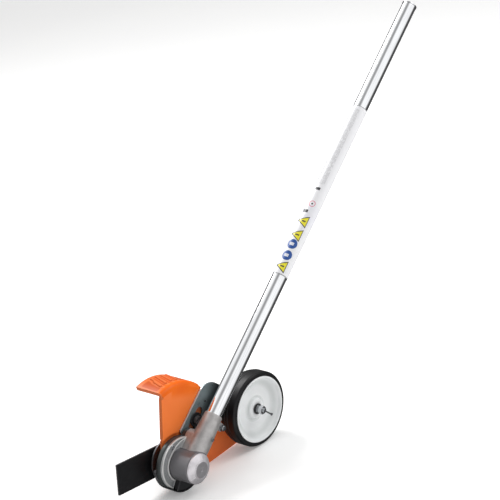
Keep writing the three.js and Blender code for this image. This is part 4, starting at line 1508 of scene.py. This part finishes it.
@dataclass
class SkidShoe:
    """The black steel shoe under the gearbox, with its two rivets."""

    outer: float = 44.5
    inner: float = 27.3
    low: float = -34.0
    high: float = -30.3
    skirt: Point = (-150.0, -38.0)
    skirt_inner: float = 43.8
    skirt_front: float = -9.5

    def build(self) -> None:
        """Builds the shoe, with its skirt under the base, and the rivets."""
        outline = arc(self.outer, -172, 8, 72) + arc(self.inner, 8, -172, 60)
        holes = [arc(2.5, 360, 12, 29, polar(RIVET_CIRCLE, angle)) for angle in RIVET_ANGLES]
        skirt = arc(self.outer, *self.skirt, 64) + arc(self.skirt_inner, *self.skirt[::-1], 64)
        shape = Shape.prism(outline, self.low, self.high, holes)
        wrap = Shape.prism(skirt, self.low, self.skirt_front)
        shape.through("BOOLEAN", operation="UNION", solver="EXACT", object=wrap).ease(0.25, 2)
        add_piece("shoe_black", shape, HUB_PLACE, Body.FRAME, Slot.BLACK, "skid_shoe")
        for i, angle in enumerate(RIVET_ANGLES):
            x, z = polar(RIVET_CIRCLE, angle)
            shank = rounded([(0, self.low), (2.2, self.low, 0.4), (2.2, -26), (0, -26)], False)
            rivet = Shape.turned(shank, steps=32).shift(x, 0, z)
            name = f"shoe_rivet_{i + 1}"
            add_piece(f"{name}_steel", rivet, HUB_PLACE, Body.FRAME, Slot.STEEL, name)


@dataclass
class WheelCarrier:
    """The slotted plate, the wheel's axle and what holds the wheel on it."""

    near: float = -30.9
    thickness: float = 2.3
    edge: float = 20.0
    foot: float = 42.0
    corner: float = 32.0
    corner_s: float = 112.0
    slot_half: float = 7.5
    slot_start: float = 53.0
    slot_end: float = 96.0
    boss: float = 14.0
    axle: float = 4.0

    def build(self) -> None:
        """Builds the plate, the guide and the axle's pieces."""
        self._plate()
        self._guide()
        self._axle()

    def _plate(self) -> None:
        """Builds the slotted plate with rolled edges."""
        centre = WHEEL_CENTRE - HUB
        axle_p, axle_s = to_tube(centre.x / MM, centre.z / MM)
        corner_p = self.edge - self.corner
        rise = math.degrees(
            math.atan2(axle_s + self.boss - self.corner_s - self.corner, corner_p - axle_p)
        )
        outline = [(-self.edge, self.foot)]
        outline += arc(5, -90, 0, 8, (self.edge - 5, self.foot + 5))
        outline += arc(self.corner, 0, 90 - rise, 28, (corner_p, self.corner_s))
        outline += arc(self.boss, 90 - rise, 228, 24, (axle_p, axle_s))
        outline += [(-self.edge - 8, 76.0)]
        half = self.slot_half
        slot = arc(half, 0, 180, 20, (0.0, self.slot_end - half))
        slot += arc(half, 180, 360, 20, (0.0, self.slot_start + half))
        holes = [slot, arc(1.6, 360, 15, 23, (-2.0, 108.0)), arc(4.3, 360, 12, 29, (axle_p, axle_s))]
        low = self.near - self.thickness
        shape = Shape.prism(outline, low, self.near, holes).ease(0.6, 3)
        add_piece("carrier_plate_zinc", shape, TUBE_PLACE, Body.CARRIER, Slot.PLATE, "carrier_plate")

    def _guide(self) -> None:
        """Builds the fixed bolt, washer, block and nut that the slot slides on."""
        at = GUIDE_ALONG
        run = 20 / 2 - 7.1
        key = arc(7.1, 0, 180, 16, (0.0, at + run)) + arc(7.1, 180, 360, 16, (0.0, at - run))
        block = Shape.prism(key, -34.2, -30.6, [arc(4.2, 360, 12, 29, (0.0, at))]).ease(0.3)
        add_piece("guide_key", block, TUBE_PLACE, Body.FRAME, Slot.STEEL, "guide_block")
        # the guide's washer and bolt take the black finish as painted shade for the shadowed slot around them
        disc = washer(4.2, 12.0, -30.3, -28.5).shift(0, 0, at)
        add_piece("guide_disc", disc, TUBE_PLACE, Body.FRAME, Slot.BLACK, "guide_washer")
        shank = [(0, -46.6), (3.2, -46.6), *thread(3.9, -46.4, -38.4), (3.9, -38.4), (3.9, -24), (0, -24)]
        bolt = nut(13, 0.5, -28.2, -22.9).join(Shape.turned(shank, steps=40)).shift(0, 0, at)
        add_piece("guide_bolt_bright", bolt, TUBE_PLACE, Body.FRAME, Slot.BLACK, "guide_bolt")
        back = nut(13, 4.2, -44.8, -38.3).shift(0, 0, at)
        add_piece("guide_nut_bright", back, TUBE_PLACE, Body.FRAME, Slot.ZINC, "guide_nut")

    def _axle(self) -> None:
        """Builds the axle, its nuts, washers and spacer, and the retaining pin."""
        threads = thread(self.axle, 9.4, 17.6, 1.2, 0.4)
        profile = [(0, -37.8), (3.4, -37.8), (4.0, -37.2), (4.0, -30.6), (8.0, -30.6), (8.0, -29.4)]
        profile += [(4.0, -29.4), (4.0, 9.2), *threads]
        profile += [(3.6, 18.6), (3.0, 19.0), (1.9, 19.0), (1.9, 16.7), (0, 16.7)]
        parts = {
            "wheel_axle": (Shape.turned(profile, steps=56), Slot.ZINC),
            "axle_rear_nut": (nut(13, 4.3, -37.5, -33.5), Slot.ZINC),
            "inner_washer": (washer(4.3, 9.0, -29.1, -27.7), Slot.ZINC),
            "outer_washer": (washer(4.3, 9.0, 2.3, 3.9), Slot.BLACK),
            "nut_spacer": (self._spacer(), Slot.ZINC),
            "axle_nut": (nut(13, 4.3, 9.5, 15.5), Slot.ZINC),
            "retaining_pin": (self._pin(), Slot.STEEL),
        }
        for node, (shape, slot) in parts.items():
            add_piece(f"{node}_fine", shape, WHEEL_PLACE, Body.CARRIER, slot, node)

    def _spacer(self) -> Shape:
        """The flanged collar between the outer washer and the nut."""
        return Shape.turned(
            rounded([(4.3, 4.2), (6.9, 4.2, 0.3), (6.9, 5.4, 0.3), (5.9, 5.8), (5.9, 9.2, 0.4), (4.3, 9.2)]),
            steps=56,
        )

    def _pin(self) -> Shape:
        """The thin pin that droops from the axle's end, with its knob."""
        knob = rounded([(0, 0), (1.2, 0), (1.2, 14.2), (2.3, 14.8, 0.5), (2.3, 16.6, 0.8), (0, 17.0)], False)
        pin = Shape.turned(knob, steps=32).move(Matrix.Rotation(-math.radians(12), 4, "X"))
        return pin.shift(0, 17.4, 0)


@dataclass
class DepthWheel:
    """The dished wheel disc and its tyre."""

    rim: float = 55.3
    front: float = 9.0
    back: float = -27.0
    floor: float = -4.0
    tyre: float = 62.8

    def build(self) -> None:
        """Builds the disc and the tyre."""
        seat, lip = self.rim - 0.9, self.front - 1.4
        disc = rounded(
            [
                (5.6, self.back - 0.4),
                (14.0, self.back - 0.4, 0.6),
                (14.0, self.floor - 4, 2.5),
                (self.rim - 4.2, self.floor - 4, 4.0),
                (self.rim - 3.6, self.back + 1, 0.5),
                (seat, self.back + 1, 0.4),
                (seat, lip, 0.2),
                (self.rim, lip, 0.2),
                (self.rim, self.front, 0.7),
                (self.rim - 2.4, self.front, 0.9),
                (self.rim - 5.0, self.front - 4.6, 3.0),
                (38.5, self.floor + 0.6, 5.0),
                (35.5, self.floor, 2.0),
                (23.5, self.floor, 2.0),
                (21.5, self.floor + 1.2, 1.2),
                (18.5, self.floor + 1.2, 1.5),
                (16.0, self.front - 7, 2.0),
                (10.5, self.front - 7, 0.5),
                (9.9, self.front - 7.6, 0.2),
                (5.6, self.front - 7.6),
            ]
        )
        dish = Shape.turned(disc, steps=160)
        add_piece("wheel_dish", dish, WHEEL_PLACE, Body.WHEEL, Slot.WHITE, "wheel_disc")
        add_piece("tyre_rolled", self._tyre(lip), WHEEL_PLACE, Body.WHEEL, Slot.TYRE, "tyre")

    def _tyre(self, lip: float) -> Shape:
        """The tyre, with two fine grooves in its crown."""
        seat, low, high, crown = self.rim - 0.6, self.back, lip - 0.3, self.tyre
        profile: list[Point] = [(seat, low), (57.2, low, 1.5), (60.4, low + 5, 5.0), (crown, low + 13, 6.0)]
        for groove in (-13.5, -7.5):
            profile += [(crown, groove - 0.9, 0.2), (crown - 0.8, groove), (crown, groove + 0.9, 0.2)]
        profile += [(crown, high - 2.6, 2.4), (crown - 1.6, high, 1.2), (seat, high)]
        return Shape.turned(rounded(profile), steps=160)


@dataclass
class BladeSet:
    """The flat blade with its flange, washer, nut and shaft end."""

    length: float = 203.0
    width: float = 51.0
    near: float = -55.0
    thickness: float = 3.0

    def build(self) -> None:
        """Builds the pieces that turn with the output shaft."""
        far = self.near - self.thickness
        half, side = self.length / 2, self.width / 2
        corners = [(-half, -side, 0.8), (half, -side, 0.8), (half, side, 0.8), (-half, side, 0.8)]
        shape = Shape.prism(rounded(corners), far, self.near, [arc(5.3, 360, 12, 29)]).ease(0.45, 2)
        parts = {
            "edger_blade": (shape, Slot.BLACK),
            "blade_flange": (self._flange(), Slot.STEEL),
            "blade_washer": (self._washer(far - 0.3), Slot.STEEL),
            "blade_nut": (nut(17, 5.3, far - 11.6, far - 3.6), Slot.ZINC),
        }
        for node, (made, slot) in parts.items():
            add_piece(f"{node}_fine", made, BLADE_PLACE, Body.ROTOR, slot, node)
        shaft = [(0, -75), (4.2, -75), *thread(5.0, -74.4, -58.5), (5.0, -58.0), (5.0, 21.6), (0, 21.6)]
        made = Shape.turned(shaft, steps=56)
        add_piece("output_shaft_fine", made, HUB_PLACE, Body.ROTOR, Slot.STEEL, "output_shaft")

    def _flange(self) -> Shape:
        """The stepped disc that the blade is clamped against."""
        return Shape.turned(
            rounded(
                [
                    (5.3, self.near + 0.3),
                    (18.0, self.near + 0.3, 0.4),
                    (18.0, -50.0, 1.0),
                    (33.5, -50.0, 0.6),
                    (36.0, -48.2, 0.6),
                    (36.0, -45.5, 0.5),
                    (12.0, -45.5, 1.5),
                    (12.0, -36.0, 0.4),
                    (5.3, -36.0),
                ]
            ),
            steps=128,
        )

    def _washer(self, top: float) -> Shape:
        """The coned washer under the nut."""
        profile = [(5.3, top - 3), (14, top - 3, 0.5), (19, top - 1.2, 0.4), (19, top, 0.3), (5.3, top)]
        return Shape.turned(rounded(profile), steps=72)


def dress_frame() -> None:
    """Gives every CAD node that still shows the finish of its slot."""
    for part in frame["record"]["subparts"]:
        node = frame["nodes"][part["node"]]
        if not node.hide_render:
            node.data.materials.clear()
            node.data.materials.append(material_for(Slot(part["material_slot"])))
            LOG.info("%s wears %s", node.name, part["material_slot"])


# ---- studio ----


@dataclass
class Studio:
    """The camera, the pale floor, the soft lights and the sky."""

    lens: float = 106.4
    eye: Point = (1.3638, 1.5173, 1.1419)
    tilt: Point = (68.311, 8.372, 130.613)
    low_sky: float = 0.58
    high_sky: float = 0.52
    mirrored: float = 1.45
    floor_glow: float = 0.22
    dark_side: Point = (68.0, 100.0, 0.93)
    left_side: Point = (-120.0, -98.0, 0.8)
    streak: Point = (-66.0, -34.0, -24.0, 2.0, 0.66)

    def camera(self) -> None:
        """Places the camera ahead of the machine, on the gearbox cap's side."""
        data = bpy.data.cameras.new("camera")
        data.lens = self.lens
        data.clip_end = 50.0
        camera = bpy.data.objects.new("camera", data)
        camera.location = HUB + Vector(self.eye)
        camera.rotation_euler = [math.radians(angle) for angle in self.tilt]
        bpy.context.scene.collection.objects.link(camera)
        bpy.context.scene.camera = camera

    def floor(self) -> None:
        """Lays a wide pale floor."""
        shape = Shape()
        bmesh.ops.create_grid(shape.bm, x_segments=4, y_segments=4, size=14.0)
        mesh = bpy.data.meshes.new("floor")
        shape.bm.to_mesh(mesh)
        shape.bm.free()
        graph = Graph.material("floor_paint")
        cloud = graph.noise(graph.position(), 400.0, 2.0)
        colour = graph.mix(cloud, (0.93, 0.93, 0.93), (0.95, 0.95, 0.945))
        glow = {"Emission_Color": colour, "Emission_Strength": self.floor_glow}
        mesh.materials.append(graph.finish(Base_Color=colour, Roughness=0.7 + cloud * 0.1, **glow))
        floor = bpy.data.objects.new("floor", mesh)
        floor.visible_glossy = False
        bpy.context.scene.collection.objects.link(floor)

    def lights(self) -> None:
        """Hangs the soft boxes and sets the sky."""
        self._box("back_key", (-0.45, -1.7, 2.0), 1.1, 46.0)
        self._box("side_key", (-1.5, 1.2, 1.9), 1.0, 16.0)
        self._sky()

    def _sky(self) -> None:
        """Sets a pale sky that is brighter overhead and holds the tube's dark streaks."""
        graph = Graph(bpy.data.worlds.new("studio_sky"))
        bpy.context.scene.world = graph.owner
        way = graph.node("ShaderNodeTexCoord", output="Generated")
        towards = Vector(self.eye) - TUBE_AXIS * Vector(self.eye).dot(TUBE_AXIS)
        facing = towards.normalized()
        across = TUBE_AXIS.cross(facing)
        around = way.math("ARCTAN2", graph.dot(way, across), graph.dot(way, facing))
        dark = around.ramp_degrees(*self.dark_side[:2]) * self.dark_side[2]
        left = (1.0 - around.ramp_degrees(*self.left_side[:2])) * self.left_side[2]
        rise, fall = around.ramp_degrees(*self.streak[:2]), around.ramp_degrees(*self.streak[2:4])
        streak = rise * (1.0 - fall) * self.streak[4]
        mirrored = (1.0 - dark) * (1.0 - left) * (1.0 - streak) * self.mirrored
        ahead, _, height = graph.axes(way)
        soft = (self.low_sky + height.ramp(0.0, 1.0) * self.high_sky) * (1.0 - ahead.ramp(-0.1, 0.8) * 0.7)
        rays = graph.node("ShaderNodeLightPath", output="Is Camera Ray")
        outputs = rays.socket.node.outputs
        glossy = Value(graph, outputs["Is Glossy Ray"])
        strength = rays + (1.0 - rays) * (glossy * mirrored + (1.0 - glossy) * soft)
        graph.show(graph.node("ShaderNodeBackground", None, {"Strength": strength}), "ShaderNodeOutputWorld")

    def _box(self, name: str, place: Point, size: float, power: float) -> None:
        """Hangs one square soft box that faces the gearbox.

        Args:
            name: The light's name.
            place: Where it hangs, from the hub, in metres.
            size: Its side, in metres.
            power: Its power in watts.
        """
        data = bpy.data.lights.new(name, "AREA")
        data.size = size
        data.energy = power
        light = bpy.data.objects.new(name, data)
        light.location = HUB + Vector(place)
        aim = HUB + TUBE_AXIS * 0.35 - light.location
        light.rotation_euler = aim.to_track_quat("-Z", "Y").to_euler()
        bpy.context.scene.collection.objects.link(light)


def main() -> None:
    """Builds the studio and every sub-assembly, and dresses what is left."""
    logging.basicConfig(level=logging.INFO, format="%(name)s %(message)s")
    bpy.context.scene.view_settings.view_transform = "Standard"
    studio = Studio()
    studio.camera()
    studio.floor()
    studio.lights()
    for assembly in (DriveTube(), Gearbox(), Guard(), SkidShoe(), WheelCarrier(), DepthWheel(), BladeSet()):
        LOG.info("building %s", type(assembly).__name__)
        assembly.build()
    dress_frame()


if __name__ == "__main__":
    main()
